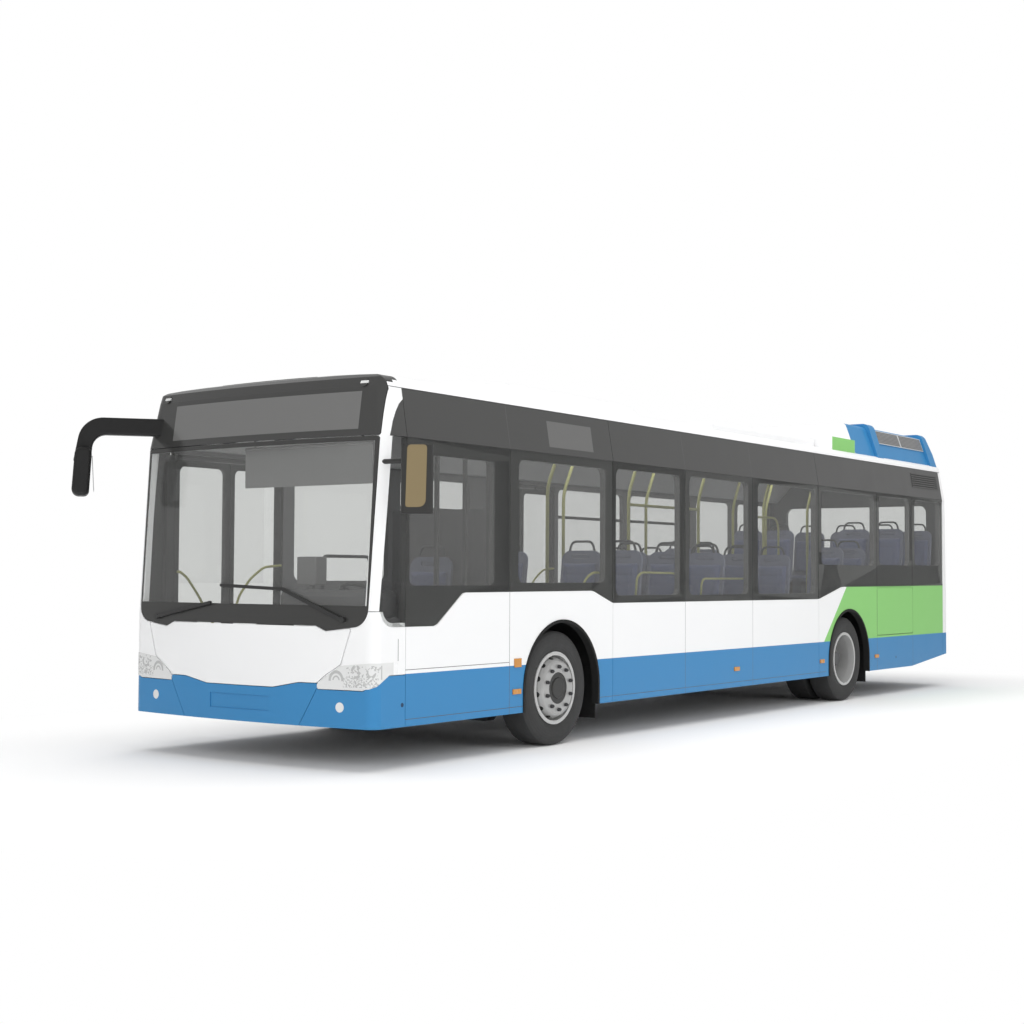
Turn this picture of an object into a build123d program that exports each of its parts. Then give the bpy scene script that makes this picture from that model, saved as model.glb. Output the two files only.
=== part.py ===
"""Low-floor city bus with two axles, built as an assembly of named pieces.

Every piece is drawn in the axle frame: the origin is on the road below the front axle, +X is the
bus's left side, +Y runs to the rear and +Z is up. The saved pieces are moved along Y so that the
origin of the stored part is the middle of its box, on the road.
"""
import math
import os

from build123d import *

# Driving dimensions of the body, millimetres
BODY_WIDTH = 2550
WHEELBASE = 5900
FRONT_OVERHANG = 2430
REAR_OVERHANG = 3300
SKIRT_Z = 310
SHOULDER_Z = 2425
CANT_Z = 2790
CANT_LEAN = 60
ROOF_EDGE_RADIUS = 110
ROOF_PITCH = 3
FRONT_BULGE_RADIUS = 9000
FRONT_CORNER_RADIUS = 100
REAR_BULGE_RADIUS = 14000
REAR_CORNER_RADIUS = 100
WALL = 60
PANEL = 36
FLAP_SKIN = 12
FLAP_GAP = 13
HATCH_GAP = 9
GLASS = 8
SEAM = 5
SEAT_GAP = 0.3
PLAN_MARGIN = 1.5
LAP = 28
SIDE_FRONT = -2000
SIDE_REAR = 8950
RISE_START = 7870
RISE_END = WHEELBASE + REAR_OVERHANG + 100
RISE = 130
PILLAR_FOOT = (-2295, 1100)
PILLAR_HEAD = (-2132, CANT_Z)
PILLAR_SEAM_Z = 1150

# Height, then how far the front and the rear face stand back there
END_LEVELS = (
    (150, 0, 0),
    (1100, 0, 0),
    (SHOULDER_Z, 85, 40),
    (CANT_Z, 140, 60),
    (2860, 165, 70),
    (2890, 215, 85),
    (2925, 330, 120),
)

# Front view outlines: across, up, corner radius. Half outlines are mirrored about the centre plane.
WINDSCREEN_HALF = ((755, 1043, 25), (846, 1006, 25), (1204, 1050, 130), (1226, 2418, 20))
HEADER_HALF = ((1230, 2424, 15), (1212, 2770, 40), (1180, 2900, 30))
FLAP_HALF = (
    (350, 582, 60), (600, 627, 60), (766, 628, 6), (856, 697, 60),
    (977, 766, 40), (1064, 1027, 12), (846, 1000, 25), (757, 1037, 25),
)
BUMPER_HALF = (
    (1320, 300, 0), (1320, 686, 0), (1255, 686, 30), (1188, 580, 40),
    (775, 580, 8), (766, 623, 6), (600, 622, 60), (350, 577, 60),
)
HEADLAMP = (
    (782, 586, 8), (1183, 586, 40), (1252, 692, 30),
    (1320, 692, 0), (1320, 776, 0), (1000, 760, 40), (872, 690, 60),
)
HEADLAMP_REAR = -2085
BUMPER_JOINT = ((769, 589), (598, 300))
REAR_WINDOW_HALF = ((1010, 1500, 90), (1010, 2360, 90))
HATCH_HALF = ((900, 720, 40), (900, 1400, 40))
REAR_BUMPER_TOP_Z = 690
ENGINE_FLAP_SPAN = (6768, 7901)
ENGINE_FLAP_Z = (722, 1290)
FOG_X = 976
FOG_Z = 459
FOG_RADIUS = 36
TOP_LAMP_X = 1053
TOP_LAMP_Z = 2820
TOP_LAMP_RADIUS = 32
TOP_LAMP_DEPTH = 12
PLATE_HALF = 310
PLATE_DEPTH = 12
PLATE_Z = (400, 512)
TAIL_LAMPS = ((1130, 860), (1130, 1000), (1130, 1140))
TAIL_LAMP_RADIUS = 55

# Side view outline of the glazed band: station, height, corner radius
BAND_SILL = (
    (-2296, 1038, 140), (-1645, 1035, 120), (-1311, 1283, 120), (523, 1287, 150),
    (847, 1178, 150), (5137, 1170, 150), (5749, 1303, 150), (SIDE_REAR - SEAM, 1311, 30),
)
BAND_TOP_Z = SHOULDER_Z - 4

# Clear windows: front, rear, sill, head, sides they are on
WINDOWS = (
    (-1960, -915, 1335, 2310, "L"),
    (-580, 720, 1355, 2350, "LR"),
    (900, 2030, 1240, 2365, "LR"),
    (2220, 3440, 1235, 2370, "L"),
    (3660, 5050, 1235, 2380, "LR"),
    (5215, 6690, 1550, 2380, "LR"),
    (6850, 7800, 1560, 2390, "LR"),
    (7990, 8860, 1565, 2390, "LR"),
)
WINDOW_RADIUS = 70

# Glass panes: front, rear, sides
PANES = (
    (-2400, -2000, "LR"), (-2000, -705, "L"), (-705, 842, "LR"), (842, 2135, "L"),
    (842, 2300, "R"), (2135, 3535, "L"), (3535, 5125, "L"), (3620, 5125, "R"),
    (5125, 6772, "LR"), (6772, 7900, "LR"), (7900, 9000, "LR"),
)

# Doorways on the right side: name, front jamb, rear jamb
DOORWAYS = (("front", -1985, -725), ("middle", 2330, 3590))
LEAF_THICKNESS = 44
LEAF_TOP_Z = 2358
LEAF_GAP = 8
LEAF_FRAME = 48
LEAF_CORNER = 30
LEAF_PIN_DEPTH = 30
LEAF_PIN_END_GAP = 6
POCKET_SKIN = 17
COLUMN_END_GAP = 7
ARM_OFFSET = 10
ARM_THICKNESS = 20
ARM_WIDTH = 24
ARM_CLEARANCE = 6
COLUMN_RADIUS = 13
LEAF_PIN_RADIUS = 8
PIN_CLEARANCE = 0.05
POCKET_TOP_Z = 2404
COLUMN_TOP_Z = 2440

# Wall panels: front, rear, side, and how much of the height: all, or above or below a doorway
WALL_PANELS = (
    (SIDE_FRONT, 842, "L", "all"), (842, 5125, "L", "all"), (5125, SIDE_REAR, "L", "all"),
    (SIDE_FRONT, -725, "R", "head"), (SIDE_FRONT, -725, "R", "sill"), (-725, 2330, "R", "all"),
    (2330, 3590, "R", "head"), (2330, 3590, "R", "sill"),
    (3590, 5125, "R", "all"), (5125, SIDE_REAR, "R", "all"),
)

# Wheels and axles
TYRE_RADIUS = 478
TYRE_WIDTH = 275
RIM_RADIUS = 286
RIM_HALF = 128
FLANGE = 9
FLANGE_RISE = 16
WHEEL_CENTRE_X = 1107
TWIN_SPACING = 305
KINGPIN_X = 1000
KINGPIN_RADIUS = 22
SPINDLE_RADIUS = 38
REAR_SPINDLE_RADIUS = 60
ARCH_RADIUS = 570
ARCH_OFFSET = 50
BOX_HALF_LENGTH = 650
BOX_TOP_Z = 1085
BOX_SHEET = 20
BOX_CORNER = 200
NOTCH_GAP = 40
FRONT_BOX_INNER_X = 540
REAR_BOX_INNER_X = 600

# Floor and cabin
FLOOR_Z = 370
FLOOR_THICKNESS = 50
REAR_FLOOR_Z = 700
DECK_Z = 1050
STEP_STATION = 4880
STEP_DEPTH = 300
BENT_SHEET = 40
DECK_STATION = 7150
CAB_FLOOR_Z = 520
LEAF_BOTTOM_Z = FLOOR_Z + LEAF_GAP

# Wheel and axle details
HAND_HOLES = 10
HAND_HOLE_CIRCLE = 228
HAND_HOLE_RADIUS = 22
AXLE_EYE_RADIUS = 36
AXLE_EYE_HALF = 52
LUG_GAP = 6
LUG_THICKNESS = 34
LUG_RADIUS = 40
AXLE_TUBE_RADIUS = 95
AXLE_TUBE_HALF = 590
GEAR_RADIUS = 172
RAIL_X = 430
RAIL_HALF = 40
RAIL_HIGH_Z = FLOOR_Z - FLOOR_THICKNESS
RAIL_LOW_Z = RAIL_HIGH_Z - 65
CROSS_HALF = 800
CROSS_STATIONS = (-1900, -900, 950, 1950, 2950, 3950, 4950, 6800, 7500, 8700)
JACK_STATIONS = (-900, 6800)
ENGINE_HALF = 480
ENGINE_SPAN = (7400, 8750)
JACK_Z = RAIL_LOW_Z - 20

# Cabin details
CAB_REAR = -760
CAB_SIDE_X = 120
CAB_SHEET = 30
CAB_WALL_Z = 1950
SCREEN_FRONT = -1700
SCREEN_Z = 1250
DASH_REAR = -1880
DRIVER_X = 640
WHEEL_RIM = 225
WHEEL_GRIP = 15
WHEEL_PLACE = (-1690, 1235)
WHEEL_LEAN = 28
COLUMN_LENGTH = 780

# Side views of the dashboard and of the shelf beside it: station, height
DASH_OUTLINE = (
    (-2600, CAB_FLOOR_Z), (-2000, CAB_FLOOR_Z), (DASH_REAR, 900), (DASH_REAR, 1040),
    (-2050, 1110), (-2600, 1000),
)
SHELF_OUTLINE = ((-2600, 560), (-2180, 560), (-2180, 960), (-2600, 985))
SEAT_WIDTH = 430
SEAT_DEPTH = 430
SEAT_BACK = 640
SEAT_LEAN = 80
BACK_SHELL = 26
BACK_CORNER = 90
PAN_THICKNESS = 30
PEDESTAL_WIDTH = 120
PEDESTAL_SPAN = (-330, -90)
HAND_SLOT = (200, 36, 55)
PAD = 45
PAD_MARGIN = 20
PLINTH_Z = FLOOR_Z + 240
WINDOW_SEAT_X = 975
AISLE_SEAT_X = 525
PAIR_LEFT = (WINDOW_SEAT_X, AISLE_SEAT_X)
PAIR_RIGHT = (-WINDOW_SEAT_X, -AISLE_SEAT_X)

# Seats: station of the backrest, height of the base, pan above the base, places across
SEAT_ROWS = (
    (-1000, CAB_FLOOR_Z, 400, (DRIVER_X,)),
    (1400, PLINTH_Z, 400, PAIR_LEFT), (2250, PLINTH_Z, 400, PAIR_LEFT),
    (3000, PLINTH_Z, 400, PAIR_LEFT), (3750, PLINTH_Z, 400, PAIR_LEFT),
    (4500, PLINTH_Z, 400, PAIR_LEFT),
    (1700, PLINTH_Z, 400, PAIR_RIGHT), (4450, PLINTH_Z, 400, PAIR_RIGHT),
    (5900, BOX_TOP_Z, 30, (WINDOW_SEAT_X, -WINDOW_SEAT_X)),
    (6530, BOX_TOP_Z, 30, (WINDOW_SEAT_X, -WINDOW_SEAT_X)),
    (7750, DECK_Z, 330, PAIR_LEFT + PAIR_RIGHT),
    (8700, DECK_Z, 330, (WINDOW_SEAT_X, AISLE_SEAT_X, 0, -AISLE_SEAT_X, -WINDOW_SEAT_X)),
)
GRAB_RADIUS = 17
RAIL_GRAB_X = 330
RAIL_GRAB_Z = 2030
RAIL_SPAN = (700, 7000)

# Handrail posts: station, height of their foot
POSTS = (
    (760, FLOOR_Z), (2460, FLOOR_Z), (3960, FLOOR_Z), (5300, REAR_FLOOR_Z), (6940, REAR_FLOOR_Z),
)

# Cross-section of the lining along the upper corners of the cabin: across, up
COVE_OUTLINE = ((1300, 2445), (1130, 2445), (820, 2770), (820, 3000), (1300, 3000))
COVE_FRONT = -1850

# Outside details
UNIT_FOOT_Z = 2860
UNIT_SHEET = 40

# Front air unit: height, width, length, middle station, corner radius
AIR_UNIT_LEVELS = (
    (UNIT_FOOT_Z, 2060, 3100, 400, 220), (2975, 1960, 2700, 450, 200), (3035, 1640, 2100, 700, 180),
)
ROOF_DECK = (900, 3350, 5830, 3008)
DECK_EDGE = 30
GREEN_BLOCK = (1115, 5850, 6500, 3035)
POD_SPAN = (6500, 9060)
POD_HALF = ((1130, UNIT_FOOT_Z, 0), (990, 3250, 60))
POD_RIB_HALF = ((1165, UNIT_FOOT_Z, 0), (1025, 3290, 90))
POD_RIBS = ((7090, 7270), (8850, 9060))
POD_TAIL = ((9110, 2900), (8960, 3300))
POD_GRILLES = ((7290, 8055), (8070, 8830))
GRILLE_Z = (3060, 3225)
GRILLE_DEPTH = 12
ARCH_LIP = 25
LIP_RISE = 8
LOUVRE_SPAN = (7960, 8850)
LOUVRE_Z = 2552
LOUVRE_PITCH = 27
LOUVRE_SLAT = 15
LOUVRE_COUNT = 7
WIPER_RISE = 14
WIPER_DEPTH = 18
WIPER_HALF = 12
WIPERS = (
    ((1010, 1090), (445, 1305), (-188, 1329)),
    ((-950, 1075), (-600, 1140), (-306, 1195)),
)
MARKER_DEPTH = 10
MUD_FLAP = 10
MUD_FLAP_X = 800
MUD_FLAP_Z = (180, 620)

# Side lamps: station, height, length, tall, sides
MARKERS = (
    (-598, 714, 90, 70, "LR"), (-610, 485, 110, 40, "LR"), (3172, 491, 110, 40, "L"),
    (5200, 481, 110, 40, "LR"), (6741, 477, 110, 40, "LR"),
)

# Mirrors: how far they reach to each side and forwards
MIRROR_REACH = 1645
MIRROR_TIP = -2830
MIRROR_EDGE = 35

# Left mirror head: centre station, centre height, width, depth, tall, turn about the vertical
LEFT_MIRROR = (-2200, 2095, 230, 90, 490, 29)
LEFT_ARM = ((1190, -2238, 2230), (1540, -2200, 2230))
LEFT_ARM_RADIUS = 18

# Right mirror: outlines along its arm and up, with corner radii, and its root and heading
RIGHT_ARM_OUTLINE = (
    (-160, 2664, 0), (580, 2664, 200), (648, 2300, 20), (512, 2300, 20), (490, 2525, 110), (-160, 2525, 0),
)
RIGHT_HEAD_OUTLINE = ((500, 2420, 50), (632, 2420, 60), (658, 2030, 55), (522, 2030, 45))
RIGHT_ARM_WIDTH = 100
RIGHT_ARM_EDGE = 18
RIGHT_HEAD_WIDTH = 240
RIGHT_HEAD_EDGE = 30
RIGHT_ROOT = (-1190, -2200)
RIGHT_HEADING = 231


def prism_x(face, low, high):
    """Extrude a side view outline across the bus."""
    return extrude(Plane.YZ.offset(low) * face, amount=high - low)


def prism_y(face, low, high):
    """Extrude a front view outline along the bus."""
    return extrude(Plane.XZ.offset(-high) * face, amount=high - low)


def block(x, y, z):
    """A box from three (low, high) pairs."""
    middle = [(low + high) / 2 for low, high in (x, y, z)]
    size = [high - low for low, high in (x, y, z)]
    return Pos(*middle) * Box(*size)


def rounded(rows):
    """A face inside a closed outline with its own radius at each corner."""
    points = [(row[0], row[1]) for row in rows]
    radii = [row[2] for row in rows]
    return make_face(FilletPolyline(*points, radius=radii, close=True))


def front_outline(half):
    """A face from the half outline on the +X side and its mirror image."""
    other = [(-across, up, radius) for across, up, radius in reversed(half)]
    return rounded(list(half) + other)


def both_sides(shape):
    """The shape and its mirror image about the centre plane."""
    return Part(shape.solids() + mirror(shape, about=Plane.YZ).solids())


def right_side(shape):
    """The mirror image of a piece drawn on the left side."""
    return mirror(shape, about=Plane.YZ)


def largest(shape, count):
    """The largest solids of a shape, without the slivers left in seams."""
    ordered = sorted(shape.solids(), key=lambda solid: solid.volume, reverse=True)
    return Part(ordered[:count])


def half_width(height):
    """Half the body's width at a height."""
    share = (height - SHOULDER_Z) / (CANT_Z - SHOULDER_Z)
    return BODY_WIDTH / 2 - CANT_LEAN * min(max(share, 0), 1)


def end_arcs(half, end, outward, bulge, corner, inset):
    """Side tangent point, corner midpoint and face tangent point of one end of the plan."""
    centre_y = end - outward * bulge
    corner_x = half - corner
    corner_y = centre_y + outward * math.sqrt((bulge - corner) ** 2 - corner_x ** 2)
    reach = math.atan2(corner_y - centre_y, corner_x)
    radius = corner - inset
    side = (corner_x + radius, corner_y)
    middle = (corner_x + radius * math.cos(reach / 2), corner_y + radius * math.sin(reach / 2))
    face = ((bulge - inset) * math.cos(reach), centre_y + (bulge - inset) * math.sin(reach))
    return side, middle, face


def plan_face(level, inset):
    """Plan outline of the body at one height, with bulged ends and round corners."""
    height, front_back, rear_back = level
    half = half_width(height) + PLAN_MARGIN
    front = front_back - FRONT_OVERHANG
    rear = WHEELBASE + REAR_OVERHANG - rear_back
    fs, fm, ff = end_arcs(half, front, -1, FRONT_BULGE_RADIUS, FRONT_CORNER_RADIUS, inset)
    rs, rm, rf = end_arcs(half, rear, 1, REAR_BULGE_RADIUS, REAR_CORNER_RADIUS, inset)

    def flip(point):
        return (-point[0], point[1])

    edges = [
        Line(fs, rs),
        ThreePointArc(rs, rm, rf),
        ThreePointArc(rf, (0, rear - inset), flip(rf)),
        ThreePointArc(flip(rf), flip(rm), flip(rs)),
        Line(flip(rs), flip(fs)),
        ThreePointArc(flip(fs), flip(fm), flip(ff)),
        ThreePointArc(flip(ff), (0, front + inset), ff),
        ThreePointArc(ff, fm, fs),
    ]
    return Pos(0, 0, height) * make_face(edges)


def section_face(inset):
    """Cross-section of the body: upright sides, leaning cant rail, round roof edge, low crown."""
    lean = math.atan2(CANT_LEAN, CANT_Z - SHOULDER_Z)
    half = BODY_WIDTH / 2 - inset
    foot = SKIRT_Z if inset == 0 else END_LEVELS[0][0]
    edge_x = BODY_WIDTH / 2 - CANT_LEAN - ROOF_EDGE_RADIUS * math.cos(lean)
    edge_z = CANT_Z - ROOF_EDGE_RADIUS * math.sin(lean)
    radius = ROOF_EDGE_RADIUS - inset
    crown_angle = math.radians(90 - ROOF_PITCH)

    def on_edge(angle):
        return (edge_x + radius * math.cos(angle), edge_z + radius * math.sin(angle))

    knee = (half, SHOULDER_Z - inset * math.tan(lean / 2))
    rail = on_edge(lean)
    brow = on_edge(crown_angle)
    crown_rise = brow[0] * math.tan(math.radians(ROOF_PITCH / 2))

    def flip(point):
        return (-point[0], point[1])

    edges = [
        Line((-half, foot), (half, foot)),
        Line((half, foot), knee),
        Line(knee, rail),
        ThreePointArc(rail, on_edge((lean + crown_angle) / 2), brow),
        ThreePointArc(brow, (0, brow[1] + crown_rise), flip(brow)),
        ThreePointArc(flip(brow), flip(on_edge((lean + crown_angle) / 2)), flip(rail)),
        Line(flip(rail), flip(knee)),
        Line(flip(knee), (-half, foot)),
    ]
    return make_face(edges)


def body_volume(inset):
    """Everything inside the body's skin, drawn in by an inset."""
    plan = loft([plan_face(level, inset) for level in END_LEVELS], ruled=True)
    length = prism_y(section_face(inset), -2 * FRONT_OVERHANG, WHEELBASE + 2 * REAR_OVERHANG)
    return plan & length


def pillar_rear(height):
    """Station of the rear edge of the windscreen pillar."""
    share = (height - PILLAR_FOOT[1]) / (PILLAR_HEAD[1] - PILLAR_FOOT[1])
    return PILLAR_FOOT[0] + (PILLAR_HEAD[0] - PILLAR_FOOT[0]) * share


OUTER = body_volume(0)
GLASS_INNER = body_volume(GLASS)
INNER = body_volume(WALL)
CABIN = body_volume(WALL + SEAT_GAP)
PANEL_INNER = body_volume(PANEL)
PANEL_ROOM = body_volume(PANEL + SEAT_GAP)
REAR_RISE = make_face(Polyline(
    (RISE_START, SKIRT_Z), (RISE_END, SKIRT_Z + RISE), (RISE_END, 0), (RISE_START, 0), close=True,
))
OUTER = OUTER - prism_x(REAR_RISE, -BODY_WIDTH, BODY_WIDTH)
SKIN = OUTER - INNER
PANEL_SKIN = OUTER - PANEL_INNER
GLASS_SKIN = OUTER - GLASS_INNER

NOSE = (-2 * FRONT_OVERHANG, SIDE_FRONT - 80)
TAIL = (SIDE_REAR, WHEELBASE + 2 * REAR_OVERHANG)
WINDSCREEN_FACE = front_outline(WINDSCREEN_HALF)
HEADER_FACE = front_outline(HEADER_HALF)
FLAP_FACE = front_outline(FLAP_HALF)
BUMPER_FACE = front_outline(BUMPER_HALF)
HEADLAMP_FACE = rounded(HEADLAMP)
BAND_FACE = rounded(BAND_SILL + (
    (SIDE_REAR - SEAM, BAND_TOP_Z, 30),
    (pillar_rear(BAND_TOP_Z) + SEAM, BAND_TOP_Z, 30),
))
FULL_X = (-BODY_WIDTH, BODY_WIDTH)
LEFT_X = (FRONT_BOX_INNER_X, BODY_WIDTH)


def grown(face):
    """An outline with the seam's width added all round."""
    return offset(face, amount=SEAM)


def rebate(panel, face, room, gap, span):
    """Seat a lid or a pane: its outline down to its depth, and a smaller hole right through."""
    seat = prism_y(offset(face, amount=gap), *span) - room
    return panel - seat - prism_y(offset(face, amount=-LAP), *span)


def windscreen():
    return GLASS_SKIN & prism_y(WINDSCREEN_FACE, *NOSE)


def header_panel():
    return PANEL_SKIN & prism_y(HEADER_FACE, *NOSE)


def front_flap():
    return (OUTER - body_volume(FLAP_SKIN)) & prism_y(FLAP_FACE, *NOSE)


def front_bumper():
    """Bumper in three pieces with fog lamp holes and a shallow plate recess."""
    bumper = PANEL_SKIN & prism_y(BUMPER_FACE, NOSE[0], SIDE_FRONT - SEAM / 2)
    for side in (-1, 1):
        bumper = bumper - lamp_bar(side * FOG_X, FOG_Z, FOG_RADIUS + SEAT_GAP, NOSE)
        (high_x, high_z), (low_x, low_z) = BUMPER_JOINT
        joint = make_face(Polyline(
            (side * high_x, high_z), (side * (high_x + SEAM), high_z),
            (side * (low_x + SEAM), low_z), (side * low_x, low_z), close=True,
        ))
        bumper = bumper - prism_y(joint, *NOSE)
    return bumper - block((-PLATE_HALF, PLATE_HALF), (NOSE[0], PLATE_DEPTH - FRONT_OVERHANG), PLATE_Z)


def lamp_bar(across, up, radius, span):
    """A round bar along the bus, for a lamp or its hole."""
    return prism_y(Pos(across, up) * Circle(radius), *span)


def front_lamps():
    """Headlamp lenses that wrap round the corners, and round fog lamps."""
    reach = block(LEFT_X, (NOSE[0], HEADLAMP_REAR), (0, CANT_Z))
    lens = PANEL_SKIN & prism_y(HEADLAMP_FACE, *NOSE) & reach
    fog = PANEL_SKIN & lamp_bar(FOG_X, FOG_Z, FOG_RADIUS, NOSE)
    top = (body_volume(-TOP_LAMP_DEPTH) & lamp_bar(TOP_LAMP_X, TOP_LAMP_Z, TOP_LAMP_RADIUS, NOSE)) - OUTER
    return both_sides(Part(lens.solids() + fog.solids() + top.solids()))


def front_corners():
    """Lower corner panels between the flap, the headlamps and the side walls."""
    corner = SKIN & block(LEFT_X, (NOSE[0], SIDE_FRONT - SEAM / 2), (0, PILLAR_SEAM_Z - SEAM / 2))
    corner = rebate(corner, WINDSCREEN_FACE, GLASS_INNER, SEAM, NOSE)
    corner = rebate(corner, FLAP_FACE, body_volume(FLAP_SKIN + SEAT_GAP), FLAP_GAP, NOSE)
    corner = corner - prism_y(grown(BUMPER_FACE), NOSE[0], SIDE_FRONT)
    corner = corner - prism_y(offset(HEADLAMP_FACE, amount=SEAT_GAP), NOSE[0], HEADLAMP_REAR + SEAT_GAP)
    corner = corner - (prism_x(grown(BAND_FACE), *LEFT_X) - GLASS_INNER)
    corner = corner - prism_x(offset(BAND_FACE, amount=-LAP), *LEFT_X)
    return both_sides(largest(corner, 1))


def a_pillars():
    """Windscreen pillars from the seam above the corner panels up to the roof."""
    side = make_face(Polyline(
        (NOSE[0], PILLAR_SEAM_Z + SEAM / 2),
        (pillar_rear(PILLAR_SEAM_Z), PILLAR_SEAM_Z + SEAM / 2),
        (pillar_rear(BAND_TOP_Z), BAND_TOP_Z + SEAM),
        (SIDE_FRONT - SEAM / 2, BAND_TOP_Z + SEAM),
        (SIDE_FRONT - SEAM / 2, CANT_Z - SEAM / 2),
        (NOSE[0], CANT_Z - SEAM / 2),
        close=True,
    ))
    pillar = SKIN & prism_x(side, *LEFT_X)
    pillar = rebate(pillar, WINDSCREEN_FACE, GLASS_INNER, SEAM, NOSE)
    return both_sides(largest(pillar - prism_y(grown(HEADER_FACE), *NOSE), 1))


def side_glazing(side):
    """Flush panes of one side, drawn on the left."""
    panes = []
    band = GLASS_SKIN & prism_x(BAND_FACE, *LEFT_X)
    for front, rear, sides in PANES:
        if side in sides:
            span = block(LEFT_X, (front + SEAM / 2, rear - SEAM / 2), (0, CANT_Z))
            panes += (band & span).solids()
    return Part(panes)


def arch_outline(axle, inset):
    """Side view of a wheel arch, open at the bottom, drawn in by an inset."""
    reach = ARCH_RADIUS - inset
    middle = axle + ARCH_OFFSET
    legs = Pos(middle, TYRE_RADIUS / 2) * Rectangle(2 * reach, TYRE_RADIUS)
    return Pos(middle, TYRE_RADIUS) * Circle(reach) + legs


def wall_panel(front, rear, side, part):
    """One side wall panel, drawn on the left, with its windows and arches cut."""
    low = LEAF_TOP_Z + LEAF_GAP if part == "head" else 0
    high = FLOOR_Z if part == "sill" else CANT_Z - SEAM / 2
    span = block(LEFT_X, (front + SEAM / 2, rear - SEAM / 2), (low, high))
    panel = SKIN & span
    panel = panel - (prism_x(grown(BAND_FACE), *LEFT_X) - GLASS_INNER)
    for axle in (0, WHEELBASE):
        if front < axle < rear:
            panel = panel - prism_x(arch_outline(axle, 0), *LEFT_X)
    for first, last, sill, head, sides in WINDOWS:
        if side in sides and front < first and last < rear:
            middle = Pos((first + last) / 2, (sill + head) / 2)
            hole = middle * RectangleRounded(last - first, head - sill, WINDOW_RADIUS)
            panel = panel - prism_x(hole, *LEFT_X)
    return largest(panel, 1)


def side_wall(side):
    """All wall panels of one side, drawn on the left."""
    solids = []
    for front, rear, on_side, part in WALL_PANELS:
        if on_side == side:
            solids += wall_panel(front, rear, side, part).solids()
    return Part(solids)


def flap_outline(grow):
    """Side view of the engine flap, grown all round."""
    low_y, high_y = ENGINE_FLAP_SPAN
    low_z, high_z = ENGINE_FLAP_Z
    middle = Pos((low_y + high_y) / 2, (low_z + high_z) / 2)
    return middle * RectangleRounded(high_y - low_y + 2 * grow, high_z - low_z + 2 * grow, LAP + SEAM + grow)


def left_wall():
    """Left side wall with the seat of the engine flap."""
    seat = prism_x(flap_outline(SEAM), *LEFT_X) - PANEL_ROOM
    return side_wall("L") - seat - prism_x(flap_outline(-LAP), *LEFT_X)


def engine_flap():
    return PANEL_SKIN & prism_x(flap_outline(0), *LEFT_X)


def leaf_places():
    """Each door leaf: name, jamb station, direction from the jamb to the middle, leaf width."""
    places = []
    for name, front, rear in DOORWAYS:
        width = (rear - front - 3 * LEAF_GAP) / 2
        places.append((name + "_fore", front + LEAF_GAP, 1, width))
        places.append((name + "_aft", rear - LEAF_GAP, -1, width))
    return places


LEAF_MID_X = BODY_WIDTH / 2 - LEAF_THICKNESS / 2
ARM_X = LEAF_MID_X - ARM_OFFSET
COLUMN_INSET = ARM_OFFSET + LEAF_THICKNESS / 2 + LEAF_GAP


def arm_length(width):
    """Length of the door arm that keeps the leading edge on the wall line."""
    return (width - COLUMN_INSET) / 2


def door_leaf(jamb, inward, width):
    """Framed door leaf with its pane, drawn on the left side."""
    tall = LEAF_TOP_Z - LEAF_BOTTOM_Z
    centre = Pos(jamb + inward * width / 2, LEAF_BOTTOM_Z + tall / 2)

    def outline(inset, radius):
        return centre * RectangleRounded(width - 2 * inset, tall - 2 * inset, radius)

    outer = outline(0, LEAF_CORNER)
    opening = outline(LEAF_FRAME, 2 * LEAF_CORNER)
    pane = outline(LEAF_FRAME + SEAT_GAP, 2 * LEAF_CORNER - SEAT_GAP)
    face_x = BODY_WIDTH / 2
    frame = prism_x(outer - opening, face_x - LEAF_THICKNESS, face_x)
    pin_y = jamb + inward * (COLUMN_INSET + arm_length(width))
    depth = LEAF_PIN_DEPTH + LEAF_PIN_END_GAP
    pin = Pos(ARM_X, pin_y, LEAF_TOP_Z) * Cylinder(LEAF_PIN_RADIUS + PIN_CLEARANCE, 2 * depth)
    glass = prism_x(pane, face_x - 2 * GLASS, face_x - GLASS)
    return Part((frame - pin).solids() + glass.solids())


def door_arm(jamb, inward, width):
    """Arm above a leaf, with the column pin going up and the leaf pin going down."""
    length = arm_length(width)
    column_y = jamb + inward * COLUMN_INSET
    pin_y = column_y + inward * length
    low = LEAF_TOP_Z + ARM_CLEARANCE
    high = low + ARM_THICKNESS
    bar = Pos(ARM_X, (column_y + pin_y) / 2, (low + high) / 2) * Box(ARM_WIDTH, length, ARM_THICKNESS)
    for end in (column_y, pin_y):
        bar = bar + Pos(ARM_X, end, (low + high) / 2) * Cylinder(ARM_WIDTH / 2, ARM_THICKNESS)
    bar = bar + Pos(ARM_X, column_y, (low + COLUMN_TOP_Z) / 2) * Cylinder(COLUMN_RADIUS, COLUMN_TOP_Z - low)
    pin_low = LEAF_TOP_Z - LEAF_PIN_DEPTH
    return bar + Pos(ARM_X, pin_y, (low + pin_low) / 2) * Cylinder(LEAF_PIN_RADIUS, low - pin_low)


def right_wall():
    """Right side wall with the arm pockets and column bores above its doorways."""
    wall = side_wall("R")
    for name, front, rear in DOORWAYS:
        deep = (LEFT_X[0], BODY_WIDTH / 2 - POCKET_SKIN)
        pocket = block(deep, (front, rear), (LEAF_TOP_Z, POCKET_TOP_Z))
        wall = wall - pocket
    for name, jamb, inward, width in leaf_places():
        rise = COLUMN_TOP_Z + COLUMN_END_GAP - LEAF_TOP_Z
        bore = extrude(Circle(COLUMN_RADIUS + PIN_CLEARANCE), amount=rise)
        wall = wall - Pos(ARM_X, jamb + inward * COLUMN_INSET, LEAF_TOP_Z) * bore
    return right_side(wall)


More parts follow.
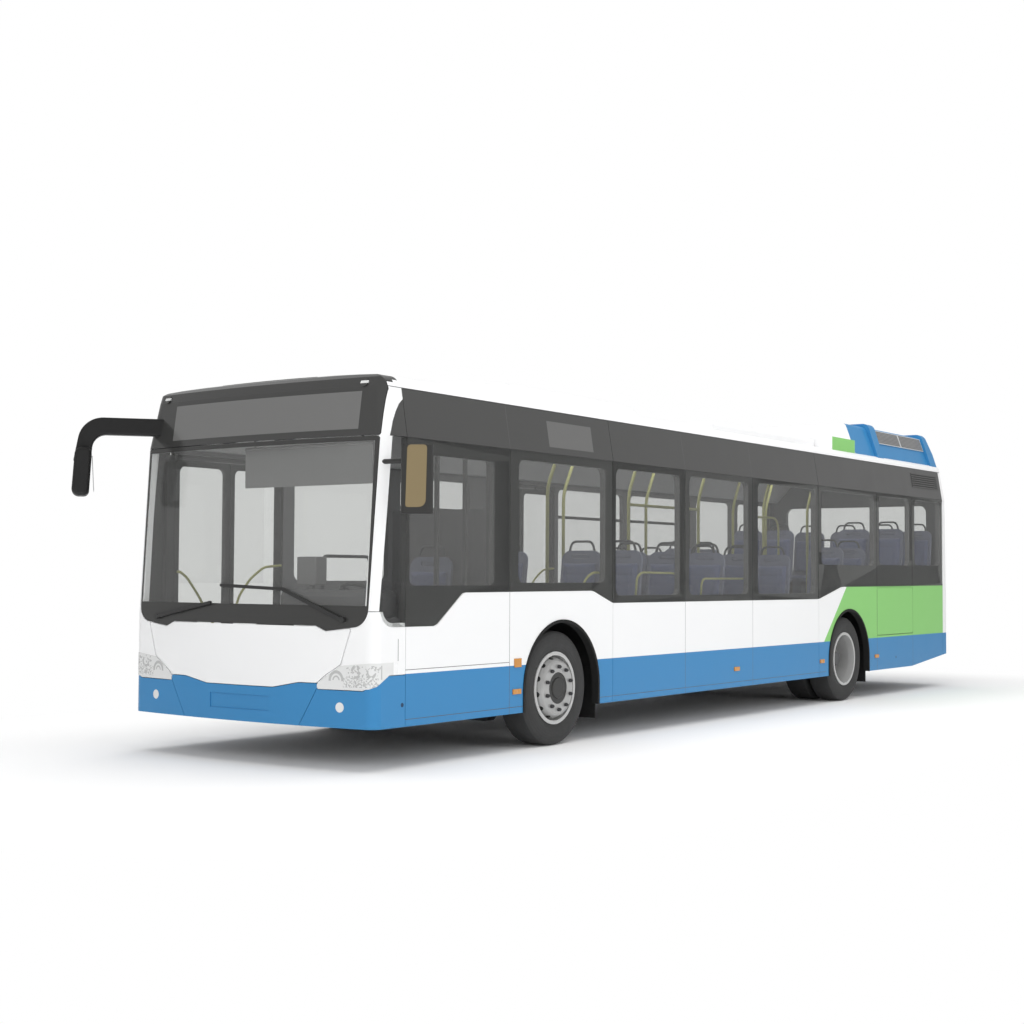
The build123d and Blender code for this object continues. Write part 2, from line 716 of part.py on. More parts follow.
def roof():
    """Roof shell from the cant rails up, open in front for the header panel."""
    shell = SKIN & block(FULL_X, (NOSE[0], TAIL[1]), (CANT_Z + SEAM / 2, 2 * CANT_Z))
    return largest(shell - prism_y(grown(HEADER_FACE), *NOSE), 1)


REAR_WINDOW_FACE = front_outline(REAR_WINDOW_HALF)
HATCH_FACE = front_outline(HATCH_HALF)


def tail_lamps():
    """Round tail lamps in a column at each rear corner."""
    lamps = []
    for across, up in TAIL_LAMPS:
        lamps += (SKIN & lamp_bar(across, up, TAIL_LAMP_RADIUS, TAIL)).solids()
    return both_sides(Part(lamps))


def rear_wall():
    """Rear wall with its corners, the window, the hatch opening and the lamp holes cut."""
    wall = SKIN & block(FULL_X, (SIDE_REAR + SEAM / 2, TAIL[1]), (REAR_BUMPER_TOP_Z, CANT_Z - SEAM / 2))
    wall = rebate(wall - prism_y(REAR_WINDOW_FACE, *TAIL), HATCH_FACE, PANEL_ROOM, HATCH_GAP, TAIL)
    for across, up in TAIL_LAMPS:
        for side in (-1, 1):
            wall = wall - lamp_bar(side * across, up, TAIL_LAMP_RADIUS + SEAT_GAP, TAIL)
    return largest(wall, 1)


def rear_window():
    pane = offset(REAR_WINDOW_FACE, amount=-SEAT_GAP)
    return GLASS_SKIN & prism_y(pane, *TAIL)


def engine_hatch():
    return PANEL_SKIN & prism_y(HATCH_FACE, *TAIL)


def rear_bumper():
    return SKIN & block(FULL_X, (SIDE_REAR + SEAM / 2, TAIL[1]), (0, REAR_BUMPER_TOP_Z - SEAT_GAP))


def wheel_box(axle, inner_x):
    """Sheet housing over a wheel, open below and outwards, drawn on the left."""
    outer_x = BODY_WIDTH / 2 - WALL - SEAT_GAP
    middle = axle + ARCH_OFFSET / 2

    def outline(sheet):
        half = BOX_HALF_LENGTH - sheet
        return rounded((
            (middle - half, FLOOR_Z - FLOOR_THICKNESS, 0), (middle + half, FLOOR_Z - FLOOR_THICKNESS, 0),
            (middle + half, BOX_TOP_Z - sheet, BOX_CORNER), (middle - half, BOX_TOP_Z - sheet, BOX_CORNER),
        ))

    return prism_x(outline(0), inner_x, outer_x) - prism_x(outline(BOX_SHEET), inner_x + BOX_SHEET, outer_x)


def wheel_boxes():
    """Four wheel boxes, the rear pair notched over the axle tube."""
    front = wheel_box(0, FRONT_BOX_INNER_X)
    reach = AXLE_TUBE_RADIUS + NOTCH_GAP
    across = (0, REAR_BOX_INNER_X + 2 * BOX_SHEET)
    notch = block(across, (WHEELBASE - reach, WHEELBASE + reach), (0, TYRE_RADIUS + reach))
    rear = wheel_box(WHEELBASE, REAR_BOX_INNER_X) - notch
    return both_sides(Part(front.solids() + rear.solids()))


def box_room(axle, inner_x):
    """Room that a wheel box takes out of the floor."""
    middle = axle + ARCH_OFFSET / 2
    reach = BOX_HALF_LENGTH + SEAT_GAP
    along = (middle - reach, middle + reach)
    return both_sides(block((inner_x - SEAT_GAP, BODY_WIDTH), along, (0, BOX_TOP_Z + SEAT_GAP)))


def low_floor():
    """Low floor from the back of the front bumper to the step."""
    level = (FLOOR_Z - FLOOR_THICKNESS, FLOOR_Z)
    floor = CABIN & block(FULL_X, (NOSE[0], STEP_STATION), level)
    floor = floor + (PANEL_ROOM & block(FULL_X, (NOSE[0], SIDE_FRONT - SEAM), level))
    return floor - box_room(0, FRONT_BOX_INNER_X)


def rear_floor():
    """Step, raised floor over the rear axle and deck over the engine, as one bent plate."""
    skin = BENT_SHEET
    step_z = (FLOOR_Z + REAR_FLOOR_Z) / 2
    rear = WHEELBASE + REAR_OVERHANG
    profile = make_face(Polyline(
        (STEP_STATION, FLOOR_Z - FLOOR_THICKNESS), (STEP_STATION, step_z),
        (STEP_STATION + STEP_DEPTH, step_z), (STEP_STATION + STEP_DEPTH, REAR_FLOOR_Z),
        (DECK_STATION, REAR_FLOOR_Z), (DECK_STATION, DECK_Z), (rear, DECK_Z),
        (rear, DECK_Z - skin), (DECK_STATION + skin, DECK_Z - skin),
        (DECK_STATION + skin, REAR_FLOOR_Z - skin), (STEP_STATION + STEP_DEPTH + skin, REAR_FLOOR_Z - skin),
        (STEP_STATION + STEP_DEPTH + skin, step_z - skin), (STEP_STATION + skin, step_z - skin),
        (STEP_STATION + skin, FLOOR_Z - FLOOR_THICKNESS), close=True,
    ))
    return (CABIN & prism_x(profile, *FULL_X)) - box_room(WHEELBASE, REAR_BOX_INNER_X)


def turned(profile):
    """Turn a section about the axle line: (across, radius) points, closed."""
    return revolve(Plane.XZ * make_face(profile), Axis.X)


def tyre(centre):
    """Tyre with round sidewalls and a slightly crowned tread, about the X axis."""
    half = TYRE_WIDTH / 2
    bead = RIM_HALF - FLANGE - SEAT_GAP
    shoulder = half - 16
    edge = half - 30
    crown = TYRE_RADIUS - 7
    corner = TYRE_RADIUS - 24
    over = RIM_RADIUS + FLANGE_RISE + 1
    wall_mid = (over + TYRE_RADIUS) / 2
    section = [
        Line((-bead, RIM_RADIUS), (bead, RIM_RADIUS)),
        Line((bead, RIM_RADIUS), (bead, over)),
        ThreePointArc((bead, over), (half, wall_mid), (shoulder, corner)),
        Line((shoulder, corner), (edge, crown)),
        ThreePointArc((edge, crown), (0, TYRE_RADIUS), (-edge, crown)),
        Line((-edge, crown), (-shoulder, corner)),
        ThreePointArc((-shoulder, corner), (-half, wall_mid), (-bead, over)),
        Line((-bead, over), (-bead, RIM_RADIUS)),
    ]
    return Pos(centre, 0, 0) * turned(section)


FLANGE_IN = RIM_HALF - FLANGE
RIM_LOW = RIM_RADIUS - 14
RIM_HIGH = RIM_RADIUS + FLANGE_RISE
RIM_SEAT = RIM_RADIUS - SEAT_GAP
BARREL = (
    (-RIM_HALF, RIM_LOW), (-RIM_HALF, RIM_HIGH), (-FLANGE_IN, RIM_HIGH), (-FLANGE_IN, RIM_SEAT),
    (FLANGE_IN, RIM_SEAT), (FLANGE_IN, RIM_HIGH), (RIM_HALF, RIM_HIGH), (RIM_HALF, RIM_LOW),
)


def with_hand_holes(rim):
    """A rim about the X axis with a ring of hand holes through its disc."""
    for count in range(HAND_HOLES):
        turn = Rot(360 / HAND_HOLES * (count + 0.5), 0, 0)
        hole = Rot(0, 90, 0) * Cylinder(HAND_HOLE_RADIUS, TYRE_WIDTH)
        rim = rim - turn * Pos(0, 0, HAND_HOLE_CIRCLE) * hole
    return rim


def front_rim():
    """Front rim with a disc that bulges outwards to the hub, and ten hand holes."""
    bore = SPINDLE_RADIUS + PIN_CLEARANCE
    section = BARREL + (
        (70, 262), (112, 206), (118, 196), (118, 112), (146, 100), (152, 86), (152, 0), (112, 0),
        (112, bore), (-40, bore), (-40, 105), (88, 105), (98, 115), (98, 192), (52, 254), (-110, 262),
    )
    rim = turned(Polyline(*section, close=True))
    return Pos(WHEEL_CENTRE_X, 0, 0) * with_hand_holes(rim)


def twin_rims():
    """Two rear rims back to back on one hub, with ten hand holes."""
    inner = WHEEL_CENTRE_X - TWIN_SPACING
    middle = (WHEEL_CENTRE_X + inner) / 2
    ring = BARREL + ((60, 262), (-60, 262))
    bore = REAR_SPINDLE_RADIUS + PIN_CLEARANCE
    disc = (
        (46, 268), (14, 205), (14, 98), (-14, 98), (-14, 205), (-46, 268), (-30, 278), (0, 230), (30, 278),
    )
    hub = (
        (-75, bore), (-75, 100), (150, 100), (165, 80), (190, 76), (190, 0), (160, 0), (160, bore),
    )
    pair = Pos(middle, 0, 0) * (turned(Polyline(*disc, close=True)) + turned(Polyline(*hub, close=True)))
    for centre in (WHEEL_CENTRE_X, inner):
        pair = pair + Pos(centre, 0, 0) * turned(Polyline(*ring, close=True))
    return Pos(middle, 0, 0) * with_hand_holes(Pos(-middle, 0, 0) * pair)


def at_axle(shape, station):
    """Put a wheel piece drawn about the X axis at its axle's height and station."""
    return Pos(0, station, TYRE_RADIUS) * shape


def front_axle():
    """Drop beam below the floor, with an eye for the kingpin at each end."""
    rows = (
        (560, 165, 40), (740, 360, 60), (KINGPIN_X - 30, 430, 20),
        (KINGPIN_X - 30, 526, 20), (720, 500, 60), (610, RAIL_LOW_Z, 60),
    )
    beam = prism_y(front_outline(rows), -50, 50)
    for side in (-1, 1):
        eye = Pos(side * KINGPIN_X, 0, TYRE_RADIUS)
        beam = beam - eye * Cylinder(AXLE_EYE_RADIUS + 1, 300)
        beam = beam + eye * Cylinder(AXLE_EYE_RADIUS + 2, 2 * AXLE_EYE_HALF)
        beam = beam - eye * Cylinder(KINGPIN_RADIUS + PIN_CLEARANCE, 300)
    return beam


def knuckle():
    """Steering knuckle on the left: two lugs on the kingpin, a web and the wheel spindle."""
    lug_low = AXLE_EYE_HALF + LUG_GAP
    lug_high = lug_low + LUG_THICKNESS
    web_x = (KINGPIN_X + AXLE_EYE_RADIUS + 8, WHEEL_CENTRE_X - 46)
    body = block(web_x, (-48, 48), (-lug_high, lug_high))
    for side in (-1, 1):
        middle = side * (lug_low + lug_high) / 2
        tall = (middle - LUG_THICKNESS / 2, middle + LUG_THICKNESS / 2)
        lug = block((KINGPIN_X, web_x[1]), (-LUG_RADIUS, LUG_RADIUS), tall)
        body = body + lug + Pos(KINGPIN_X, 0, middle) * Cylinder(LUG_RADIUS, LUG_THICKNESS)
    body = body + Pos(KINGPIN_X, 0, 0) * Cylinder(KINGPIN_RADIUS, 2 * lug_high)
    spindle = WHEEL_CENTRE_X + 108 - web_x[0]
    body = body + Pos(web_x[0] + spindle / 2, 0, 0) * Rot(0, 90, 0) * Cylinder(SPINDLE_RADIUS, spindle)
    return at_axle(body, 0)


def rear_axle():
    """Drive axle: tube, gear housing, a spindle into each hub and a seat on each rail."""
    tube = Rot(0, 90, 0) * Cylinder(AXLE_TUBE_RADIUS, 2 * AXLE_TUBE_HALF)
    housing = Pos(150, 0, 0) * Rot(0, 90, 0) * Cylinder(GEAR_RADIUS, 220)
    spindles = Rot(0, 90, 0) * Cylinder(REAR_SPINDLE_RADIUS, 2 * (WHEEL_CENTRE_X - 10))
    axle = tube + housing + spindles
    for side in (-1, 1):
        across = (side * RAIL_X - RAIL_HALF, side * RAIL_X + RAIL_HALF)
        axle = axle + block(across, (-RAIL_HALF, RAIL_HALF), (RAIL_HIGH_Z - TYRE_RADIUS, 0))
    return at_axle(axle, WHEELBASE)


def underframe():
    """Two rails under the floor, cross-members between and beside them, and jacking pads."""
    tall = (RAIL_LOW_Z, RAIL_HIGH_Z)
    inner = RAIL_X - RAIL_HALF
    outer = RAIL_X + RAIL_HALF
    solids = block((inner, outer), (CROSS_STATIONS[0], CROSS_STATIONS[-1]), tall).solids()
    for station in CROSS_STATIONS:
        along = (station - RAIL_HALF, station + RAIL_HALF)
        solids += block((outer + SEAT_GAP, CROSS_HALF), along, tall).solids()
    for station in JACK_STATIONS:
        along = (station - RAIL_HALF, station + RAIL_HALF)
        solids += block((inner, outer), along, (JACK_Z, RAIL_LOW_Z - SEAT_GAP)).solids()
    solids = both_sides(Part(solids)).solids()
    for station in CROSS_STATIONS:
        along = (station - RAIL_HALF, station + RAIL_HALF)
        solids += block((SEAT_GAP - inner, inner - SEAT_GAP), along, tall).solids()
    return Part(solids)


def engine():
    """Engine and gearbox as one plain block on the rails, below the rear deck."""
    tall = (RAIL_HIGH_Z, DECK_Z - BENT_SHEET - NOTCH_GAP / 2)
    return block((-ENGINE_HALF, ENGINE_HALF), ENGINE_SPAN, tall)


def dashboard():
    """Dashboard in front of the driver and a low shelf across to the door."""
    half = BODY_WIDTH / 2 - WALL
    tall_part = CABIN & prism_x(make_face(Polyline(*DASH_OUTLINE, close=True)), CAB_SIDE_X, half)
    shelf = CABIN & prism_x(make_face(Polyline(*SHELF_OUTLINE, close=True)), -half, CAB_SIDE_X)
    return tall_part + shelf


def driver_cab():
    """Raised platform, low side screen and the wall behind the driver."""
    platform = CABIN & block((CAB_SIDE_X, BODY_WIDTH), (DASH_REAR - 450, CAB_REAR), (FLOOR_Z, CAB_FLOOR_Z))
    screen_x = (CAB_SIDE_X - CAB_SHEET, CAB_SIDE_X)
    wall_x = (screen_x[0], BODY_WIDTH / 2 - WALL - SEAT_GAP)
    wall = block(wall_x, (CAB_REAR, CAB_REAR + CAB_SHEET), (FLOOR_Z, CAB_WALL_Z))
    return platform + wall + block(screen_x, (SCREEN_FRONT, CAB_REAR), (FLOOR_Z, SCREEN_Z))


def steering_wheel():
    """Steering wheel on a leaning column that stands on the driver's platform."""
    rim = Torus(WHEEL_RIM, WHEEL_GRIP)
    for turn in (0, 120, 240):
        rim = rim + Rot(0, 0, turn) * Pos(WHEEL_RIM / 2, 0, -12) * Box(WHEEL_RIM, 36, 14)
    rim = rim + Pos(0, 0, -15) * Cylinder(60, 45)
    column = Pos(0, 0, -COLUMN_LENGTH / 2 - 10) * Cylinder(38, COLUMN_LENGTH)
    wheel = Pos(DRIVER_X, *WHEEL_PLACE) * Rot(-WHEEL_LEAN, 0, 0) * (rim + column)
    return largest(wheel - dashboard(), 1)


def seat_places():
    """Each seat: across, station of the backrest, height of its base, height of its pan."""
    places = []
    for station, base, pan, columns in SEAT_ROWS:
        for across in columns:
            places.append((across, station, base, base + pan))
    return places


def seat_base(base, pan):
    """Pan on a pedestal, over the low floor on a plinth, with the backrest's station at the origin."""
    half = SEAT_WIDTH / 2
    low = pan - PAN_THICKNESS
    solids = block((-half, half), (-SEAT_DEPTH, 0), (low, pan)).solids()
    if low > base:
        foot = (-PEDESTAL_WIDTH / 2, PEDESTAL_WIDTH / 2)
        solids += block(foot, PEDESTAL_SPAN, (base, low - SEAT_GAP)).solids()
    if base == PLINTH_Z:
        solids += block((-half, half), (-SEAT_DEPTH, 0), (FLOOR_Z, base - SEAT_GAP)).solids()
    return Part(solids)


def back_profile(front, rear, low, high):
    """Side view of a slab along the leaning backrest, between two depths."""
    lean = SEAT_LEAN / SEAT_BACK
    return make_face(Polyline(
        (front + lean * low, low), (rear + lean * low, low),
        (rear + lean * high, high), (front + lean * high, high), close=True,
    ))


def seat_back(pan):
    """Leaning shell with round top corners and a hand hole."""
    half = SEAT_WIDTH / 2
    reach = (-SEAT_DEPTH, SEAT_DEPTH)
    slab = prism_x(back_profile(0, BACK_SHELL, -PAN_THICKNESS, SEAT_BACK), -half, half)
    slab = slab - block((-half, half), (-SEAT_DEPTH, 0), (-PAN_THICKNESS, 0))
    front = rounded((
        (-half, -PAN_THICKNESS, 0), (half, -PAN_THICKNESS, 0),
        (half, SEAT_BACK, BACK_CORNER), (-half, SEAT_BACK, BACK_CORNER),
    ))
    width, tall, drop = HAND_SLOT
    slot = Pos(0, SEAT_BACK - drop) * RectangleRounded(width, tall, tall / 2 - 1)
    return Pos(0, 0, pan) * ((slab & prism_y(front, *reach)) - prism_y(slot, *reach))


def seat_pads(pan):
    """Cushion on the pan and pad on the backrest."""
    half = SEAT_WIDTH / 2 - PAD_MARGIN
    cushion = block((-half, half), (2 * PAD - SEAT_DEPTH, -PAD), (pan, pan + PAD))
    pad = prism_x(back_profile(-PAD, 0, 2 * PAD, SEAT_BACK - 2 * HAND_SLOT[2]), -half, half)
    return [cushion, Pos(0, 0, pan) * pad]


def seats():
    """The three seat nodes: bases, backrests and pads."""
    bases = []
    backs = []
    pads = []
    for across, station, base, pan in seat_places():
        place = Pos(across, station, 0)
        bases += (place * seat_base(base, pan)).solids()
        backs += (place * seat_back(pan)).solids()
        for pad in seat_pads(pan):
            pads += (place * pad).solids()
    return Part(bases), Part(backs), Part(pads)


def handrails():
    """Overhead rails, on posts that run from the floor to the roof."""
    rails = []
    for side in (-1, 1):
        long_rail = Pos(side * RAIL_GRAB_X, sum(RAIL_SPAN) / 2, RAIL_GRAB_Z) * Rot(90, 0, 0)
        tube = long_rail * Cylinder(GRAB_RADIUS, RAIL_SPAN[1] - RAIL_SPAN[0])
        for station, base in POSTS:
            foot = Pos(side * RAIL_GRAB_X, station, base)
            tube = tube + foot * extrude(Circle(GRAB_RADIUS), amount=CANT_Z)
        rails += (tube & CABIN).solids()
    return Part(rails)


def ceiling_coves():
    """Lining along both upper corners of the cabin."""
    outline = make_face(Polyline(*COVE_OUTLINE, close=True))
    return both_sides(CABIN & prism_y(outline, COVE_FRONT, TAIL[1]))


def air_unit(inset):
    """Front air unit as stacked plan outlines, drawn in by an inset."""
    levels = []
    for height, width, length, station, corner in AIR_UNIT_LEVELS:
        outline = RectangleRounded(width - 2 * inset, length - 2 * inset, corner - inset)
        levels.append(Plane.XY.offset(height - inset) * Pos(0, station) * outline)
    return loft(levels, ruled=True)


def roof_box(values, inset):
    """A low box on the roof from its half width, front, rear and top, drawn in by an inset."""
    half, front, rear, top = values
    return block((inset - half, half - inset), (front + inset, rear - inset), (UNIT_FOOT_Z, top - inset))


def roof_units():
    """Front air unit and the low deck behind it, hollow, both seated on the roof's crown."""
    front = air_unit(0) - air_unit(UNIT_SHEET) - OUTER
    deck = roof_box(ROOF_DECK, 0)
    deck = fillet(deck.edges().group_by(Axis.Z)[-1], DECK_EDGE)
    deck = deck - roof_box(ROOF_DECK, UNIT_SHEET) - OUTER
    return Part(largest(front, 1).solids() + largest(deck, 1).solids())


def pod_prism(half, inset, span):
    """Cross-section of the rear pod run along the bus, drawn in by an inset."""
    (foot_x, foot_z, foot_radius), (top_x, top_z, top_radius) = half
    rows = ((foot_x - inset, foot_z, foot_radius), (top_x - inset, top_z - inset, top_radius))
    return prism_y(front_outline(rows), *span)


def roof_pod():
    """Rear pod with two round ribs and a sloping tail, and the low block in front of it."""
    pod = pod_prism(POD_HALF, 0, POD_SPAN)
    for span in POD_RIBS:
        pod = pod + pod_prism(POD_RIB_HALF, 0, span)
    (low_y, low_z), (high_y, high_z) = POD_TAIL
    tail = make_face(Polyline((low_y, low_z), (high_y, high_z), (low_y, high_z), close=True))
    pod = pod - prism_x(tail, *FULL_X)
    pod = pod - pod_prism(POD_HALF, UNIT_SHEET, (POD_SPAN[0] + UNIT_SHEET, POD_RIBS[-1][0]))
    front = roof_box(GREEN_BLOCK, 0) - roof_box(GREEN_BLOCK, UNIT_SHEET)
    return largest(pod + front - OUTER, 1)


def pod_grilles():
    """Two grille panels on each sloping side of the pod, between its ribs."""
    panels = []
    for span in POD_GRILLES:
        sheet = pod_prism(POD_HALF, -GRILLE_DEPTH, span) - pod_prism(POD_HALF, 0, span)
        panels += (sheet & block(LEFT_X, span, GRILLE_Z)).solids()
    return both_sides(Part(panels))


def arch_lips():
    """Black lips round the four wheel arches."""
    lips = []
    for axle in (0, WHEELBASE):
        ring = arch_outline(axle, SEAT_GAP) - arch_outline(axle, ARCH_LIP)
        lip = prism_x(ring, BODY_WIDTH / 2 - WALL, BODY_WIDTH / 2 + LIP_RISE)
        lips += largest(lip & block(LEFT_X, (NOSE[0], TAIL[1]), (SKIRT_Z, CANT_Z)), 1).solids()
    return both_sides(Part(lips))


def louvre():
    """Slats of the air inlet high on the left side, near the rear."""
    slats = []
    sheet = body_volume(-LIP_RISE) - OUTER
    for count in range(LOUVRE_COUNT):
        low = LOUVRE_Z + count * LOUVRE_PITCH
        slats += (sheet & block(LEFT_X, LOUVRE_SPAN, (low, low + LOUVRE_SLAT))).solids()
    return Part(slats)


def left_mirror():
    """Left mirror head with round edges, turned towards the driver, on a short straight arm."""
    station, height, width, depth, tall, turn = LEFT_MIRROR
    angle = math.radians(turn)
    reach = (width / 2 - MIRROR_EDGE) * math.cos(angle) + (depth / 2 - MIRROR_EDGE) * math.sin(angle)
    head = extrude(RectangleRounded(width, depth, MIRROR_EDGE), amount=tall)
    head = Pos(MIRROR_REACH - MIRROR_EDGE - reach, station, height - tall / 2) * Rot(0, 0, turn) * head
    path = Line(*LEFT_ARM)
    arm = sweep(Plane(origin=path @ 0, z_dir=path % 0) * Circle(LEFT_ARM_RADIUS), path=path)
    return largest(head + arm - OUTER, 1)


def mirror_slab(outline, width, edge):
    """A piece of the right mirror from its side outline, with round edges."""
    slab = extrude(Plane.XZ * rounded(outline), amount=width / 2, both=True)
    return fillet(slab.edges(), edge)


def right_mirror():
    """Right mirror: a broad arm that bends over forwards and down into its head."""
    arm = mirror_slab(RIGHT_ARM_OUTLINE, RIGHT_ARM_WIDTH, RIGHT_ARM_EDGE)
    head = mirror_slab(RIGHT_HEAD_OUTLINE, RIGHT_HEAD_WIDTH, RIGHT_HEAD_EDGE)
    ear = Pos(*RIGHT_ROOT, 0) * Rot(0, 0, RIGHT_HEADING) * (arm + head)
    box = ear.bounding_box()
    return largest(Pos(-MIRROR_REACH - box.min.X, MIRROR_TIP - box.min.Y, 0) * ear - OUTER, 1)


def mirrors():
    """Both outside mirrors with their arms, rooted on the body's skin."""
    return Part(left_mirror().solids() + right_mirror().solids())


def wipers():
    """Two wiper arms with blades that follow the windscreen, on spindles below it."""
    outer = body_volume(-WIPER_RISE - WIPER_DEPTH)
    gap = body_volume(-WIPER_RISE)
    arms = []
    for start, elbow, tip in WIPERS:
        line = make_face(offset(Polyline(start, elbow, tip), amount=WIPER_HALF).edges())
        arm = (outer & prism_y(line, *NOSE)) - gap
        spindle = (outer & lamp_bar(start[0], start[1], WIPER_HALF * 1.6, NOSE)) - OUTER
        arms += largest(arm + spindle, 1).solids()
    return Part(arms)


def marker_lamps():
    """Amber side lamps on the outer faces of the walls."""
    lamps = []
    face = BODY_WIDTH / 2
    for station, height, length, tall, sides in MARKERS:
        for side, letter in ((1, "L"), (-1, "R")):
            if letter in sides:
                lamp = Box(MARKER_DEPTH, length, tall)
                lamps += (Pos(side * (face + MARKER_DEPTH / 2), station, height) * lamp).solids()
    return Part(lamps)


def mud_flaps():
    """Rubber flaps on the rear sheets of the wheel boxes."""
    flaps = []
    for axle in (0, WHEELBASE):
        rear = axle + ARCH_OFFSET / 2 + BOX_HALF_LENGTH - BOX_SHEET
        across = (MUD_FLAP_X, BODY_WIDTH / 2 - WALL - SEAT_GAP)
        flaps += block(across, (rear - MUD_FLAP, rear), MUD_FLAP_Z).solids()
    return both_sides(Part(flaps))


SEAT_BASES, SEAT_BACKS, SEAT_PADS = seats()
ORIGIN_STATION = (MIRROR_TIP + WHEELBASE + REAR_OVERHANG) / 2


def save(node, shape):
    """Write one node, moved from the axle frame to the stored part's frame."""
    export_step(Part((Pos(0, -ORIGIN_STATION, 0) * shape).solids()), f"parts/{node}.step")


os.makedirs("parts", exist_ok=True)
NODES = {
    "windscreen": windscreen(),
    "header_panel": header_panel(),
    "front_flap": front_flap(),
    "front_bumper": front_bumper(),
    "front_lamps": front_lamps(),
    "front_corners": front_corners(),
    "a_pillars": a_pillars(),
    "left_wall": left_wall(),
    "engine_flap": engine_flap(),
    "arch_lips": arch_lips(),
    "louvre": louvre(),
    "left_glazing": side_glazing("L"),
    "right_wall": right_wall(),
    "right_glazing": right_side(side_glazing("R")),
    "roof": roof(),
    "rear_wall": rear_wall(),
    "rear_window": rear_window(),
    "engine_hatch": engine_hatch(),
    "rear_bumper": rear_bumper(),
    "tail_lamps": tail_lamps(),
    "wheel_boxes": wheel_boxes(),
    "low_floor": low_floor(),
    "rear_floor": rear_floor(),
    "underframe": underframe(),
    "engine": engine(),
    "front_axle": front_axle(),
    "rear_axle": rear_axle(),
    "dashboard": dashboard(),
    "driver_cab": driver_cab(),
    "steering_wheel": steering_wheel(),
    "seat_bases": SEAT_BASES,
    "seat_backs": SEAT_BACKS,
    "seat_pads": SEAT_PADS,
    "handrails": handrails(),
    "ceiling_coves": ceiling_coves(),
    "roof_units": roof_units(),
    "roof_pod": roof_pod(),
    "pod_grilles": pod_grilles(),
    "mirrors": mirrors(),
    "wipers": wipers(),
    "marker_lamps": marker_lamps(),
    "mud_flaps": mud_flaps(),
}
LEFT_PIECES = {
    "knuckle": knuckle(),
    "front_tyre": at_axle(tyre(WHEEL_CENTRE_X), 0),
    "front_rim": at_axle(front_rim(), 0),
    "rear_tyres": at_axle(
        Part([tyre(WHEEL_CENTRE_X).solid(), tyre(WHEEL_CENTRE_X - TWIN_SPACING).solid()]), WHEELBASE),
    "rear_rims": at_axle(twin_rims(), WHEELBASE),
}
for name, shape in LEFT_PIECES.items():
    NODES[name + "_left"] = shape
    NODES[name + "_right"] = right_side(shape)
for name, jamb, inward, width in leaf_places():
    NODES["door_leaf_" + name] = right_side(door_leaf(jamb, inward, width))
    NODES["door_arm_" + name] = right_side(door_arm(jamb, inward, width))
for node, shape in NODES.items():
    save(node, shape)
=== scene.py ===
"""Looks of the low-floor city bus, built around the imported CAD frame.

Metres throughout. x runs to the left of the bus, z up from the road, and a station is the
distance behind the front axle. Colours are linear.
"""
import math

import bmesh
import bpy
from mathutils import Matrix, Vector


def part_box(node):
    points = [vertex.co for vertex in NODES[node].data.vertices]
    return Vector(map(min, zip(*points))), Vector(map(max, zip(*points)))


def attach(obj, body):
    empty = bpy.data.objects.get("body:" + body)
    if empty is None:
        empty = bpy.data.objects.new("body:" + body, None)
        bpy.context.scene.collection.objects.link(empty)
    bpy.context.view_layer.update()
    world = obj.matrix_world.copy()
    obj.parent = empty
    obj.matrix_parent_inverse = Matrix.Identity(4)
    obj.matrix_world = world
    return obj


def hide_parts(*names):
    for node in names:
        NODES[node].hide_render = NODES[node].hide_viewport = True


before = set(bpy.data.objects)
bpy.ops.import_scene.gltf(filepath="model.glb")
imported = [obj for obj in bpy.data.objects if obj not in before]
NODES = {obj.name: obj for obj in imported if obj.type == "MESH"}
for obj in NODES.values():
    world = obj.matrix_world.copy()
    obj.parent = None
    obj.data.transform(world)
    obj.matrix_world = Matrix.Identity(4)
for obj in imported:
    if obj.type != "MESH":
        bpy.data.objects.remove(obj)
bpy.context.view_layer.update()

# The frame's origin lies this far behind the front axle
SHIFT = 3.185
# Added to across and station, it gives the distance round a front corner
NOSE = 2.40
# Half the body's width, and where the flanks of its front parts begin
HALF = 1.275
FLANK_X = 1.2
HUB_Z = 0.478
REAR_AXLE = 5.9
SIDES = ((1, "left"), (-1, "right"))
LEAVES = ("front_fore", "front_aft", "middle_fore", "middle_aft")
CIRCLE = 2 * math.pi


def grey(level):
    """A neutral colour."""
    return (level, level, level)


WHITE = (0.81, 0.813, 0.816)
BLUE = (0.040, 0.212, 0.445)
GREEN = (0.235, 0.545, 0.160)
DARK = (0.064, 0.064, 0.063)
FRONT_DARK = (0.040, 0.040, 0.039)
OLIVE = (0.34, 0.34, 0.125)
LINING_GREY = grey(0.30)

scene = bpy.context.scene
scene.view_settings.view_transform = "Standard"


